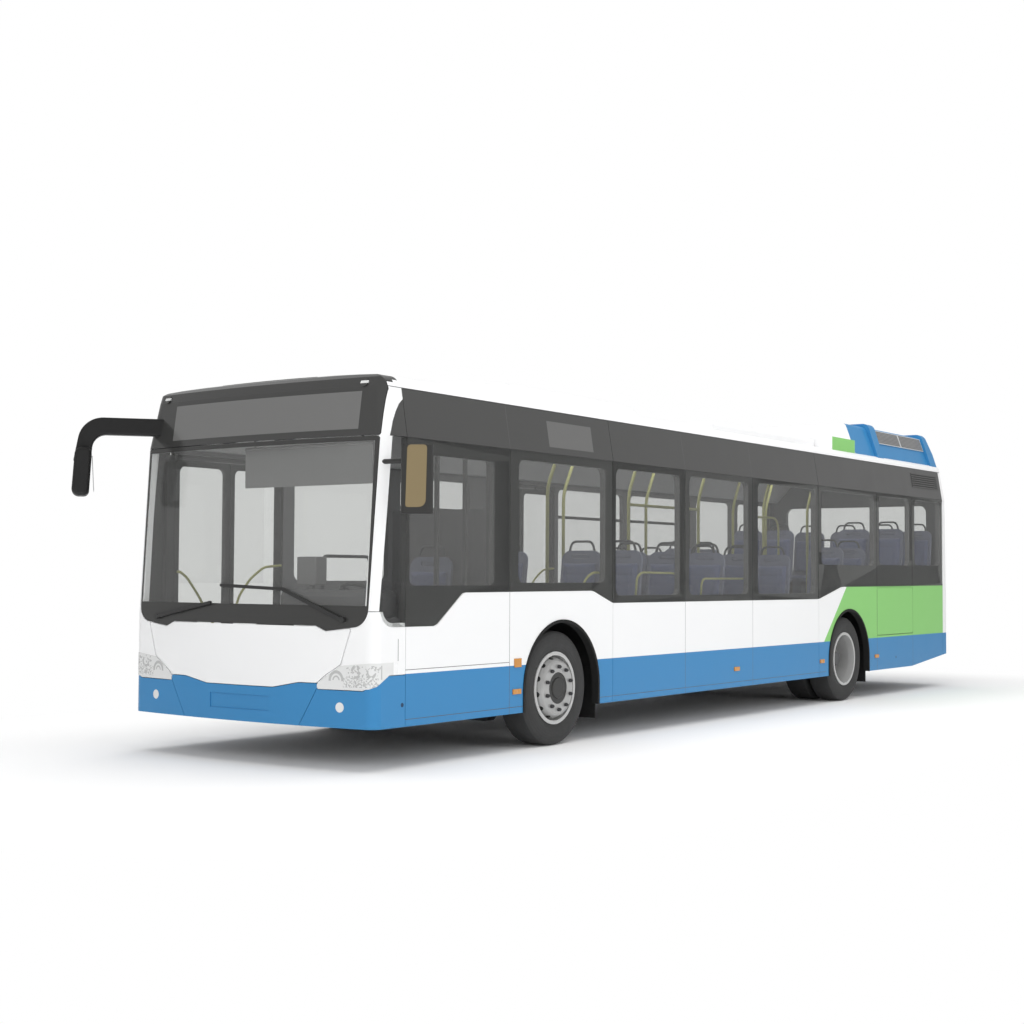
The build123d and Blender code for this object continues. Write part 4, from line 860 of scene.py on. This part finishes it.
# Hoops along the left wall: station, height
HOOPS = (
    ((0.44, 1.20), (0.482, 1.363), (0.615, 1.444), (0.832, 1.437)),
    ((1.344, 1.20), (1.373, 1.41), (1.461, 1.447), (2.048, 1.442), (2.186, 1.41), (2.206, 1.20)),
    ((2.569, 1.20), (2.590, 1.391), (3.640, 1.392)),
)
STEP_HOOP_X = 0.70
STEP_HOOP = ((4.593, 1.60), (4.605, 2.07), (5.30, 2.08), (5.31, 1.085))
# Rails on the leaves: station from the leaf's front edge, height
FORE_RAIL = ((0.035, 1.43), (0.11, 1.385), (0.24, 1.235), (0.38, 1.03), (0.585, 0.80))
AFT_RAIL = ((0.035, 1.10), (0.09, 1.235), (0.22, 1.375), (0.38, 1.475), (0.595, 1.49))
# How far a leaf's rail stands off, and how deep its ends go in
LEAF_RAIL_OFF = 0.030
LEAF_RAIL_IN = 0.010


def interior_rails():
    """Hoops along the left wall, one behind the step, and the rails on the door leaves."""
    paths = [[(HOOP_X, station, z) for station, z in row] for row in HOOPS]
    tubes("wall_hoops", paths, RAIL, radius=0.0105)
    path = [(STEP_HOOP_X, station, z) for station, z in STEP_HOOP]
    tubes("step_hoop", [path], RAIL, radius=0.012, bend=0.16)
    for leaf, row in zip(LEAVES, (FORE_RAIL, AFT_RAIL) * 2):
        low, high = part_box("door_leaf_" + leaf)
        front = low.y + SHIFT
        path = [(high.x + LEAF_RAIL_OFF, front + station, z) for station, z in row]
        first, last = [(high.x - LEAF_RAIL_IN, *end[1:]) for end in (path[0], path[-1])]
        tubes("leaf_rail_" + leaf, [[first, *path, last]], RAIL,
              "door_leaf_" + leaf, bend=0.05)


WALL_SEAT_X = 0.975
AISLE_SEAT_X = 0.525
LEFT_PAIR = (WALL_SEAT_X, AISLE_SEAT_X)
RIGHT_PAIR = (-WALL_SEAT_X, -AISLE_SEAT_X)
LOW_PAN = 1.01
STEP_PAN = 1.115
REAR_PAN = 1.38
# Seats, the driver's first: across, station of the backrest, height of the pan
SEATS = [(0.64, -1.0, 0.92)]
SEATS += [(x, station, LOW_PAN) for station in (1.4, 2.25, 3.0, 3.75, 4.5) for x in LEFT_PAIR]
SEATS += [(x, station, LOW_PAN) for station in (1.7, 4.45) for x in RIGHT_PAIR]
SEATS += [(x, station, STEP_PAN) for station in (5.9, 6.53) for x in (WALL_SEAT_X, -WALL_SEAT_X)]
SEATS += [(x, 7.75, REAR_PAN) for x in LEFT_PAIR + RIGHT_PAIR]
SEATS += [(x, 8.7, REAR_PAN) for x in LEFT_PAIR + (0.0,) + RIGHT_PAIR]
# Backrest: height, run by rise of its lean, half its thickness
SEAT_TOP = 0.64
SEAT_LEAN = 0.08 / 0.64
SHELL_MIDDLE = 0.013
# Grab loop: across from the seat's middle, up from the top of the backrest
LOOP = ((-0.145, -0.03), (-0.115, 0.085), (0.115, 0.085), (0.145, -0.03))
SLOT_UP = 0.585
INSERT = (0.197, 0.018, 0.033)


def seat_loops():
    """A bent grab tube on top of each backrest."""
    paths = []
    for x, station, pan in SEATS:
        depth = station + SEAT_LEAN * SEAT_TOP + SHELL_MIDDLE
        paths.append([(x + across, depth, pan + SEAT_TOP + up) for across, up in LOOP])
    tubes("seat_loops", paths, TUBE, radius=0.0115, bend=0.06)


def seat_inserts():
    """A plate in the hand hole of each backrest."""
    mesh = bmesh.new()
    lean = Matrix.Rotation(-math.atan(SEAT_LEAN), 4, "X")
    for x, station, pan in SEATS:
        place = at(x, station + SEAT_LEAN * SLOT_UP + SHELL_MIDDLE, pan + SLOT_UP)
        add_block(mesh, INSERT, Matrix.Translation(place) @ lean, edge=0.012, segments=3)
    piece("seat_inserts", mesh, SHELL)


# Seals: width past the leaf's edge, bite into it, distance back from its faces
SEAL_LIP = 0.005
SEAL_BITE = 0.001
SEAL_INSET = 0.008


def door_seals():
    """Rubber lips along the edges of each door leaf."""
    for leaf in LEAVES:
        low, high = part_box("door_leaf_" + leaf)
        low = low + Vector((SEAL_INSET, SHIFT, 0))
        high = high + Vector((-SEAL_INSET, SHIFT, 0))
        rows = (
            ((low.x, low.y - SEAL_LIP, low.z), (high.x, low.y + SEAL_BITE, high.z)),
            ((low.x, high.y - SEAL_BITE, low.z), (high.x, high.y + SEAL_LIP, high.z)),
            ((low.x, low.y, high.z - SEAL_BITE), (high.x, high.y, high.z + SEAL_LIP)),
            ((low.x, low.y, low.z - SEAL_LIP), (high.x, high.y, low.z + SEAL_BITE)),
        )
        blocks("leaf_seal_" + leaf, rows, RUBBER, "door_leaf_" + leaf,
               edge=SEAL_BITE)


# Post behind the narrow pane and beside it: lowest and highest corners
DOOR_POST = (
    ((-1.260, -2.075, 0.372), (-1.220, -1.990, 2.39)),
    ((-1.273, -2.001, 0.372), (-1.222, -1.990, 2.39)),
)


def door_post():
    """Post ahead of the front door."""
    blocks("door_post", DOOR_POST, BLACK, edge=0.003)


PAD_VOXEL = 0.012
PAD_PRESSURE = 4.0
PAD_FRAMES = 20
# The cloth moves no further than this
PAD_SWELL = 0.010


def swollen(size, rests):
    """Points and faces of a pad that a cloth simulation puffs up off its resting side."""
    mesh = bmesh.new()
    add_block(mesh, size, Matrix.Identity(4), edge=0.014, segments=3)
    pad = put_in_scene("pad_start", mesh_data("pad_start", mesh))
    remesh = pad.modifiers.new("even", "REMESH")
    remesh.mode = "VOXEL"
    remesh.voxel_size = PAD_VOXEL
    graph = bpy.context.evaluated_depsgraph_get()
    even = bpy.data.meshes.new_from_object(pad.evaluated_get(graph))
    pad.modifiers.clear()
    pad.data = even
    start = [point.co.copy() for point in even.vertices]
    group = pad.vertex_groups.new(name="rests")
    group.add([index for index, point in enumerate(start) if rests(point)], 1.0, "REPLACE")
    cloth = pad.modifiers.new("cloth", "CLOTH")
    cloth.settings.vertex_group_mass = "rests"
    cloth.settings.use_pressure = True
    cloth.settings.uniform_pressure_force = PAD_PRESSURE
    cloth.settings.effector_weights.gravity = 0.0
    cloth.collision_settings.use_collision = False
    for count in range(1, PAD_FRAMES + 1):
        scene.frame_set(count)
    graph = bpy.context.evaluated_depsgraph_get()
    puffed = bpy.data.meshes.new_from_object(pad.evaluated_get(graph))
    points = []
    for before, after in zip(start, puffed.vertices):
        move = after.co - before
        if move.length > PAD_SWELL:
            move = move * (PAD_SWELL / move.length)
        points.append(before + move)
    faces = [tuple(polygon.vertices) for polygon in puffed.polygons]
    bpy.data.objects.remove(pad)
    scene.frame_set(1)
    return points, faces


SEAM_WIDTH = 0.011
SIDE_SEAM_X = 0.12


def seam(distance, depth):
    """How deep a sewn line pulls the cloth in at a distance from it."""
    return depth * math.exp(-(distance / SEAM_WIDTH) ** 2)


def sewn(points, outward, axis, cross):
    """The points with two sewn lines along the free side and one across it."""
    result = []
    for point in points:
        if point.dot(outward) > 0:
            drop = seam(abs(point.x) - SIDE_SEAM_X, depth=0.006)
            drop += seam(point[axis] - cross, depth=0.005)
            point = point - outward * drop
        result.append(point)
    return result


def padded(name, points, faces, places, look):
    """One object with a copy of the pad at each place."""
    spots = []
    sides = []
    for place in places:
        first = len(spots)
        spots += [place + point for point in points]
        sides += [tuple(first + index for index in face) for face in faces]
    data = bpy.data.meshes.new(name)
    data.from_pydata(spots, [], sides)
    for polygon in data.polygons:
        polygon.use_smooth = True
    made = riding(name, data, look)
    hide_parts("seat_pads")


# Pads: size, start of the resting side, seam across, place of the middle on the seat
CUSHION = Vector((0.378, 0.284, 0.036))
CUSHION_REST_Z = -0.014
CUSHION_CROSS_Y = 0.02
CUSHION_AHEAD = 0.1925
CUSHION_UP = 0.0205
BACK_PAD = Vector((0.378, 0.034, 0.428))
BACK_REST_Y = 0.013
BACK_CROSS_Z = 0.10
BACK_AHEAD = 0.0205
BACK_UP = 0.31


def seat_pads():
    """Crowned cushions and backrest pads with sewn lines, in place of the CAD pads."""
    look = pad_look()
    points, faces = swollen(CUSHION, lambda point: point.z < CUSHION_REST_Z)
    points = sewn(points, Vector((0, 0, 1)), axis=1, cross=CUSHION_CROSS_Y)
    places = [at(x, station - CUSHION_AHEAD, pan + CUSHION_UP) for x, station, pan in SEATS]
    padded("seat_cushions", points, faces, places, look)
    points, faces = swollen(BACK_PAD, lambda point: point.y > BACK_REST_Y)
    points = sewn(points, Vector((0, -1, 0)), axis=2, cross=BACK_CROSS_Z)
    points = [point + Vector((0, SEAT_LEAN * point.z, 0)) for point in points]
    forward = BACK_AHEAD - SEAT_LEAN * BACK_UP
    places = [at(x, station - forward, pan + BACK_UP) for x, station, pan in SEATS]
    padded("backrest_pads", points, faces, places, look)


# Sun blind: size, middle, height of its roller and of the brackets
BLIND = (1.30, 0.006, 0.30)
BLIND_MIDDLE = (0.50, -2.235, 2.225)
ROLLER_ENDS = (-0.15, 1.15)
ROLLER_Z = 2.375
BRACKETS = (-0.05, 1.05)
BRACKET_Z = 2.50
HOOD = ((0.20, -2.22, 1.03), (1.16, -1.93, 1.30))
# Ticket machine: place, a height above it, top of its foot, middle, size
MACHINE_PLACE = (0.30, -1.96)
MACHINE_ABOVE_Z = 1.60
MACHINE_FOOT_Z = 1.36
MACHINE_Z = 1.44
MACHINE = (0.20, 0.13, 0.22)
CAB_RAIL_X = 0.135
CAB_RAIL = ((-1.66, 1.245), (-1.66, 1.56), (-1.10, 1.56), (-1.10, 1.245))


def cab_details():
    """Sun blind, instrument hood, ticket machine and the rail on the cab screen."""
    mesh = bmesh.new()
    station = BLIND_MIDDLE[1]
    add_block(mesh, BLIND, Matrix.Translation(at(*BLIND_MIDDLE)), edge=0.002)
    add_tube(mesh, [at(x, station, ROLLER_Z) for x in ROLLER_ENDS], radius=0.012)
    for x in BRACKETS:
        corner = at(x, station, BRACKET_Z)
        front = surface("header_panel", corner, Vector((0, -1, 0)))
        add_tube(mesh, [at(x, station, ROLLER_Z), corner, front], radius=0.008)
    piece("sun_blind", mesh, plain("blind_grey", grey(0.16), 0.8, grain=200.0))
    blocks("instrument_hood", [HOOD], DASH, edge=0.05)
    mesh = bmesh.new()
    top = surface("dashboard", at(*MACHINE_PLACE, MACHINE_ABOVE_Z), Vector((0, 0, -1)))
    add_tube(mesh, [top, at(*MACHINE_PLACE, MACHINE_FOOT_Z)], radius=0.022)
    middle = Matrix.Translation(at(*MACHINE_PLACE, MACHINE_Z))
    add_block(mesh, MACHINE, middle, edge=0.012, segments=3)
    piece("ticket_machine", mesh, plain("machine_grey", grey(0.15), 0.6))
    path = [(CAB_RAIL_X, station, z) for station, z in CAB_RAIL]
    tubes("cab_rail", [path], TUBE, radius=0.013, bend=0.05)


# Bars inside the panes: distances across, stations, heights
BAR_IN = 1.226
BAR_OUT = 1.262
CAB_BARS = ((-1.622, -1.598), (-1.272, -1.254), (-0.967, -0.916))
CAB_BARS_Z = (1.336, 2.309)
LIGHT_BARS = ((0.901, 2.029), (3.661, 5.049), (5.216, 6.689))
LIGHT_BARS_Z = (2.055, 2.087)


def window_bars():
    """Bars of the driver's sliding window and of the opening lights on the right."""
    rows = []
    for front, rear in CAB_BARS:
        rows.append(((BAR_IN, front, CAB_BARS_Z[0]), (BAR_OUT, rear, CAB_BARS_Z[1])))
    for front, rear in LIGHT_BARS:
        rows.append(((-BAR_OUT, front, LIGHT_BARS_Z[0]), (-BAR_IN, rear, LIGHT_BARS_Z[1])))
    blocks("window_bars", rows, BLACK, edge=0.003)


# Left mirror: middle, turn, and the glass behind the middle
LEFT_HEAD = (1.5352, -2.2, 2.095)
LEFT_TURN = math.radians(29)
LEFT_GLASS = (0.19, 0.006, 0.43)
LEFT_GLASS_BEHIND = 0.0445
# Tan cover: across, up and corner radius
COVER = (
    (-0.076, -0.200, 0.02), (0.070, -0.200, 0.06), (0.078, 0.244, 0.03), (-0.064, 0.244, 0.03),
)
COVER_DEPTH = 0.012
COVER_AHEAD = 0.042
# Right mirror: root and heading of its arm, and the glass along it
RIGHT_ROOT = (-1.138, -2.243)
RIGHT_TURN = math.radians(231)
RIGHT_GLASS = (0.006, 0.18, 0.28)
RIGHT_GLASS_FAR = 0.512
RIGHT_GLASS_Z = 2.21
RIGHT_LEAN = math.atan2(0.022, 0.39)


def mirror_faces():
    """Glass in both mirrors, and the tan cover on the front of the left one."""
    turn = Matrix.Translation(at(*LEFT_HEAD)) @ Matrix.Rotation(LEFT_TURN, 4, "Z")
    mesh = bmesh.new()
    add_plate(mesh, COVER, COVER_DEPTH, turn @ Matrix.Translation((0, -COVER_AHEAD, 0)))
    piece("mirror_cover", mesh, TAN)
    mesh = bmesh.new()
    behind = turn @ Matrix.Translation((0, LEFT_GLASS_BEHIND, 0))
    add_block(mesh, LEFT_GLASS, behind, edge=0.002)
    ahead = Vector((math.cos(RIGHT_TURN), math.sin(RIGHT_TURN), 0))
    middle = at(*RIGHT_ROOT, RIGHT_GLASS_Z) + ahead * RIGHT_GLASS_FAR
    lean = Matrix.Rotation(RIGHT_TURN, 4, "Z") @ Matrix.Rotation(RIGHT_LEAN, 4, "Y")
    add_block(mesh, RIGHT_GLASS, Matrix.Translation(middle) @ lean, edge=0.002)
    piece("mirror_glass", mesh, MIRROR)


# Headlamp lens: distance round the corner, height of the edge
LENS_LOW = (
    (0.78, 0.584), (1.08, 0.587), (1.28, 0.597), (1.36, 0.616), (1.525, 0.708), (1.541, 0.780),
)
LENS_HIGH = ((0.78, 0.600), (0.79, 0.625), (1.00, 0.757), (1.28, 0.781), (1.541, 0.782))
# Upright axis inside the corner, the lens's angles about it, and a height in the lens
LENS_AXIS = (1.0, -1.9)
LENS_FROM = -24.3
LENS_SPAN = 73.8
LENS_Z = 0.68
LENS_COLUMNS = 80
LENS_ROWS = 12
# How far the lens stands out of the body, and goes in
LENS_OUT = 0.0035
LENS_IN = 0.0030


def along_rows(rows, value):
    """Value read from rows of pairs by straight lines."""
    for (left, low), (right, high) in zip(rows, rows[1:]):
        if value <= right:
            return low + (high - low) * max(value - left, 0.0) / (right - left)
    return rows[-1][1]


def reach(side, angle, z):
    """Outer face of the front corner from the lens axis: axis, direction, distance."""
    outward = Vector((side * math.sin(angle), -math.cos(angle), 0))
    axis = at(side * LENS_AXIS[0], LENS_AXIS[1], z)
    furthest = 0.0
    for node in ("front_corners", "front_lamps", "front_bumper"):
        found, place, _, _ = NODES[node].ray_cast(axis + outward, -outward)
        if found:
            furthest = max(furthest, (place - axis).dot(outward))
    return axis, outward, furthest


def lens_column(side, angle):
    """Axis, direction and distance of the points in one upright row of the lens."""
    axis, outward, far = reach(side, angle, LENS_Z)
    spot = axis + outward * far
    along = abs(spot.x) + spot.y + SHIFT + NOSE
    low, high = along_rows(LENS_LOW, along), along_rows(LENS_HIGH, along)
    hits = []
    for row in range(LENS_ROWS + 1):
        hits.append(reach(side, angle, low + (high - low) * row / LENS_ROWS))
    fars = [hit[2] for hit in hits]
    furthest = [max(fars[max(row - 1, 0):row + 2]) for row in range(LENS_ROWS + 1)]
    return [(axis, outward, far) for (axis, outward, _), far in zip(hits, furthest)]


def rim(skin):
    """The points round the edge of a grid."""
    low = [column[0] for column in skin]
    high = [column[-1] for column in skin]
    return low + skin[-1][1:-1] + high[::-1] + skin[0][-2:0:-1]


def headlamp_lenses():
    """Thin lens over each headlamp, with the outline seen in the photo."""
    for side, word in SIDES:
        mesh = bmesh.new()
        outer, inner = [], []
        for count in range(LENS_COLUMNS + 1):
            angle = math.radians(LENS_FROM + LENS_SPAN * count / LENS_COLUMNS)
            column = lens_column(side, angle)
            for skin, offset in ((outer, LENS_OUT), (inner, -LENS_IN)):
                skin.append([
                    mesh.verts.new(axis + outward * (far + offset)) for axis, outward, far in column
                ])
        for skin in (outer, inner):
            for left, right in zip(skin, skin[1:]):
                for row in range(LENS_ROWS):
                    mesh.faces.new((left[row], right[row], right[row + 1], left[row + 1]))
        bridge(mesh, rim(outer), rim(inner))
        bmesh.ops.recalc_face_normals(mesh, faces=mesh.faces)
        piece("headlamp_lens_" + word, mesh, LAMP)


# Front wheel dish: distance from the hub's centre line, distance from the middle of the bus
DISH = (
    (0.264, 1.179), (0.2635, 1.184), (0.256, 1.205), (0.245, 1.232), (0.233, 1.253),
    (0.222, 1.264), (0.212, 1.268), (0.137, 1.268), (0.131, 1.265), (0.131, 1.2615),
    (0.090, 1.2615), (0.086, 1.268), (0.080, 1.270),
)
DISH_STEPS = 96
DISH_METAL = 0.5
DISH_HUB_RADIUS = 0.1305
# Hand holes: number, turn in pitches, circle, middle across, radius, and the slope they lie on
HAND_HOLES = 12
HOLE_TURN = 20.17
HOLE_CIRCLE = 0.248
HOLE_X = 1.223
HOLE_RADIUS = 0.023
SLOPE_RADIUS = 0.2
SLOPE_LENGTH = 1.25


def dish_look():
    """Pale steel with painted shade in the hand holes and a dark hub."""
    look = plain("dish_paint", (0.41, 0.41, 0.405), 0.36, metal=DISH_METAL, grain=40.0)
    x, station, z = look.axes()
    radius = look.distance(station, z, (0.0, HUB_Z))
    angle = look.math("ARCTAN2", look.minus(z, HUB_Z), station)
    turn = look.plus(look.times(angle, HAND_HOLES / CIRCLE), HOLE_TURN)
    turn = look.minus(look.math("FRACT", turn), 0.5)
    tangent = look.times(turn, CIRCLE * HOLE_CIRCLE / HAND_HOLES)
    depth = look.times(look.minus(look.size(x), HOLE_X), SLOPE_LENGTH)
    hole = look.spot(tangent, depth, (0.0, 0.0, HOLE_RADIUS))
    holes = look.both(hole, look.more(radius, SLOPE_RADIUS))
    hub = look.less(radius, DISH_HUB_RADIUS)
    # painted shade: the hand holes are drawn near black instead of cut open
    look.over(holes, grey(0.006))
    look.over(hub, (0.018, 0.018, 0.017))
    look.put("Metallic", look.times(look.inverse(look.either(holes, hub)), DISH_METAL))
    return look


def front_dishes():
    """Dished disc on each front wheel, standing out past the rim as in the photo."""
    look = dish_look()
    angles = [CIRCLE * step / DISH_STEPS for step in range(DISH_STEPS)]
    for side, word in SIDES:
        mesh = bmesh.new()
        rings = []
        for radius, x in DISH:
            spots = [(radius * math.cos(angle), radius * math.sin(angle)) for angle in angles]
            rings.append([mesh.verts.new(at(side * x, y, HUB_Z + z)) for y, z in spots])
        for near, far in zip(rings, rings[1:]):
            bridge(mesh, near, far)
        mesh.faces.new(rings[-1])
        mesh.faces.new(rings[0])
        bmesh.ops.recalc_face_normals(mesh, faces=mesh.faces)
        piece("front_dish_" + word, mesh, look, "wheel_front_" + word)


NUTS = 10
FRONT_NUT_CIRCLE = 0.178
REAR_NUT_CIRCLE = 0.168
FLANGE_X = 1.268
# Beside the wheels
BESIDE_X = 1.5
# Nut and stud: start, end, radius, sides
NUT_PARTS = ((-0.002, 0.020, 0.0165, 6), (0.018, 0.030, 0.0085, 8))


def wheel_nuts():
    """Ten nuts on the outer face of each wheel."""
    for axle, end, circle in (
            (0.0, "front_", FRONT_NUT_CIRCLE), (REAR_AXLE, "rear_", REAR_NUT_CIRCLE)):
        for side, word in SIDES:
            mesh = bmesh.new()
            outward = Vector((side, 0, 0))
            for count in range(NUTS):
                angle = CIRCLE * (count + 0.5) / NUTS
                spot = (axle + circle * math.cos(angle), HUB_Z + circle * math.sin(angle))
                seat = at(side * FLANGE_X, *spot)
                if end == "rear_":
                    seat = surface("rear_rims_" + word, at(side * BESIDE_X, *spot), -outward)
                for start, stop, radius, sides in NUT_PARTS:
                    add_tube(mesh, [seat + outward * start, seat + outward * stop], radius, sides)
            piece("wheel_nuts_" + end + word, mesh, TUBE, "wheel_" + end + word)


FLOOR_SIZE = 400
# The floor fades to white between these distances from the bus
BUS_HALVES = (1.3, 6.0)
FADE_FROM = 0.7
FADE_TO = 3.0
SKY = 0.52
# Studio lamps: name, place, size, watts
STUDIO = (
    ("over", (0, 0, 11), 16, 1450), ("front", (7, -17, 6), 9, 850), ("side", (16, 0, 6), 10, 600),
)
STUDIO_AIM = Vector((0, 0, 1))
CABIN_STATIONS = (-0.6, 2.0, 4.6, 7.2)
CABIN_Z = 2.74
CABIN_SIZE = (1.0, 2.0)
CABIN_WATTS = 16


def white_floor():
    """White floor with the shadow under the bus, plain white further out."""
    bpy.ops.mesh.primitive_plane_add(size=FLOOR_SIZE, location=(0, 0, 0))
    floor = bpy.context.object
    floor.name = "floor"
    look = Look("floor_white", grey(0.93), 0.9)
    x, station, _ = look.axes()
    past = []
    for value, half in zip((x, look.minus(station, SHIFT)), BUS_HALVES):
        past.append(look.math("MAXIMUM", look.minus(look.size(value), half), 0.0))
    fade = look.add("ShaderNodeMapRange", interpolation_type="SMOOTHSTEP")
    # Inputs 1 and 2 are the range that goes in
    for value, index in ((look.distance(*past, (0.0, 0.0)), 0), (FADE_FROM, 1), (FADE_TO, 2)):
        look.join(value, fade.inputs[index])
    seen = look.add("ShaderNodeLightPath").outputs["Is Camera Ray"]
    glow = look.add("ShaderNodeEmission")
    look.cover(look.both(fade.outputs[0], seen), glow.outputs[0])
    floor.data.materials.append(look.material)


def white_world():
    """Surroundings that give a soft light and are seen as plain white."""
    world = bpy.data.worlds.new("studio")
    scene.world = world
    world.use_nodes = True
    nodes = world.node_tree.nodes
    links = world.node_tree.links
    back = nodes["Background"]
    shown = nodes.new("ShaderNodeBackground")
    for node in (back, shown):
        node.inputs[0].default_value = (1, 1, 1, 1)
    back.inputs[1].default_value = SKY
    path = nodes.new("ShaderNodeLightPath")
    mixed = nodes.new("ShaderNodeMixShader")
    links.new(path.outputs["Is Camera Ray"], mixed.inputs[0])
    links.new(back.outputs[0], mixed.inputs[1])
    links.new(shown.outputs[0], mixed.inputs[2])
    links.new(mixed.outputs[0], nodes["World Output"].inputs[0])


def area_lamp(name, place, size, watts):
    """A soft lamp that shines down and is not seen itself."""
    lamp = bpy.data.lights.new(name, "AREA")
    lamp.shape = "RECTANGLE"
    lamp.size, lamp.size_y = size
    lamp.energy = watts
    made = put_in_scene(name, lamp)
    made.location = place
    made.visible_camera = False
    made.visible_glossy = False
    return made


def lights():
    """Studio lamps that look at the bus, and lamps under the cabin's ceiling."""
    for name, place, size, watts in STUDIO:
        made = area_lamp(name, place, (size, size), watts)
        aim = STUDIO_AIM - Vector(place)
        made.rotation_euler = aim.to_track_quat("-Z", "Y").to_euler()
    for station in CABIN_STATIONS:
        area_lamp("cabin", at(0, station, CABIN_Z), CABIN_SIZE, CABIN_WATTS)


# The camera as solved from the photo, with the focal length in its pixels
CAMERA = (8.470, -10.667, 1.420)
YAW = -0.62447
PITCH = 0.040713
ROLL = 0.005294
FOCAL = 1537.95
PHOTO_WIDTH = 1024
SENSOR = 36


def camera():
    """The camera at its place, turned by heading, pitch and roll."""
    data = bpy.data.cameras.new("camera")
    data.sensor_width = SENSOR
    data.lens = FOCAL * SENSOR / PHOTO_WIDTH
    made = put_in_scene("camera", data)
    turn = Matrix.Rotation(-YAW, 4, "Z") @ Matrix.Rotation(math.pi / 2 + PITCH, 4, "X")
    turn = turn @ Matrix.Rotation(ROLL, 4, "Z")
    made.matrix_world = Matrix.Translation(at(*CAMERA)) @ turn
    scene.camera = made


grab_posts()
interior_rails()
seat_loops()
seat_inserts()
door_seals()
door_post()
seat_pads()
cab_details()
window_bars()
mirror_faces()
headlamp_lenses()
front_dishes()
wheel_nuts()
white_floor()
white_world()
lights()
camera()
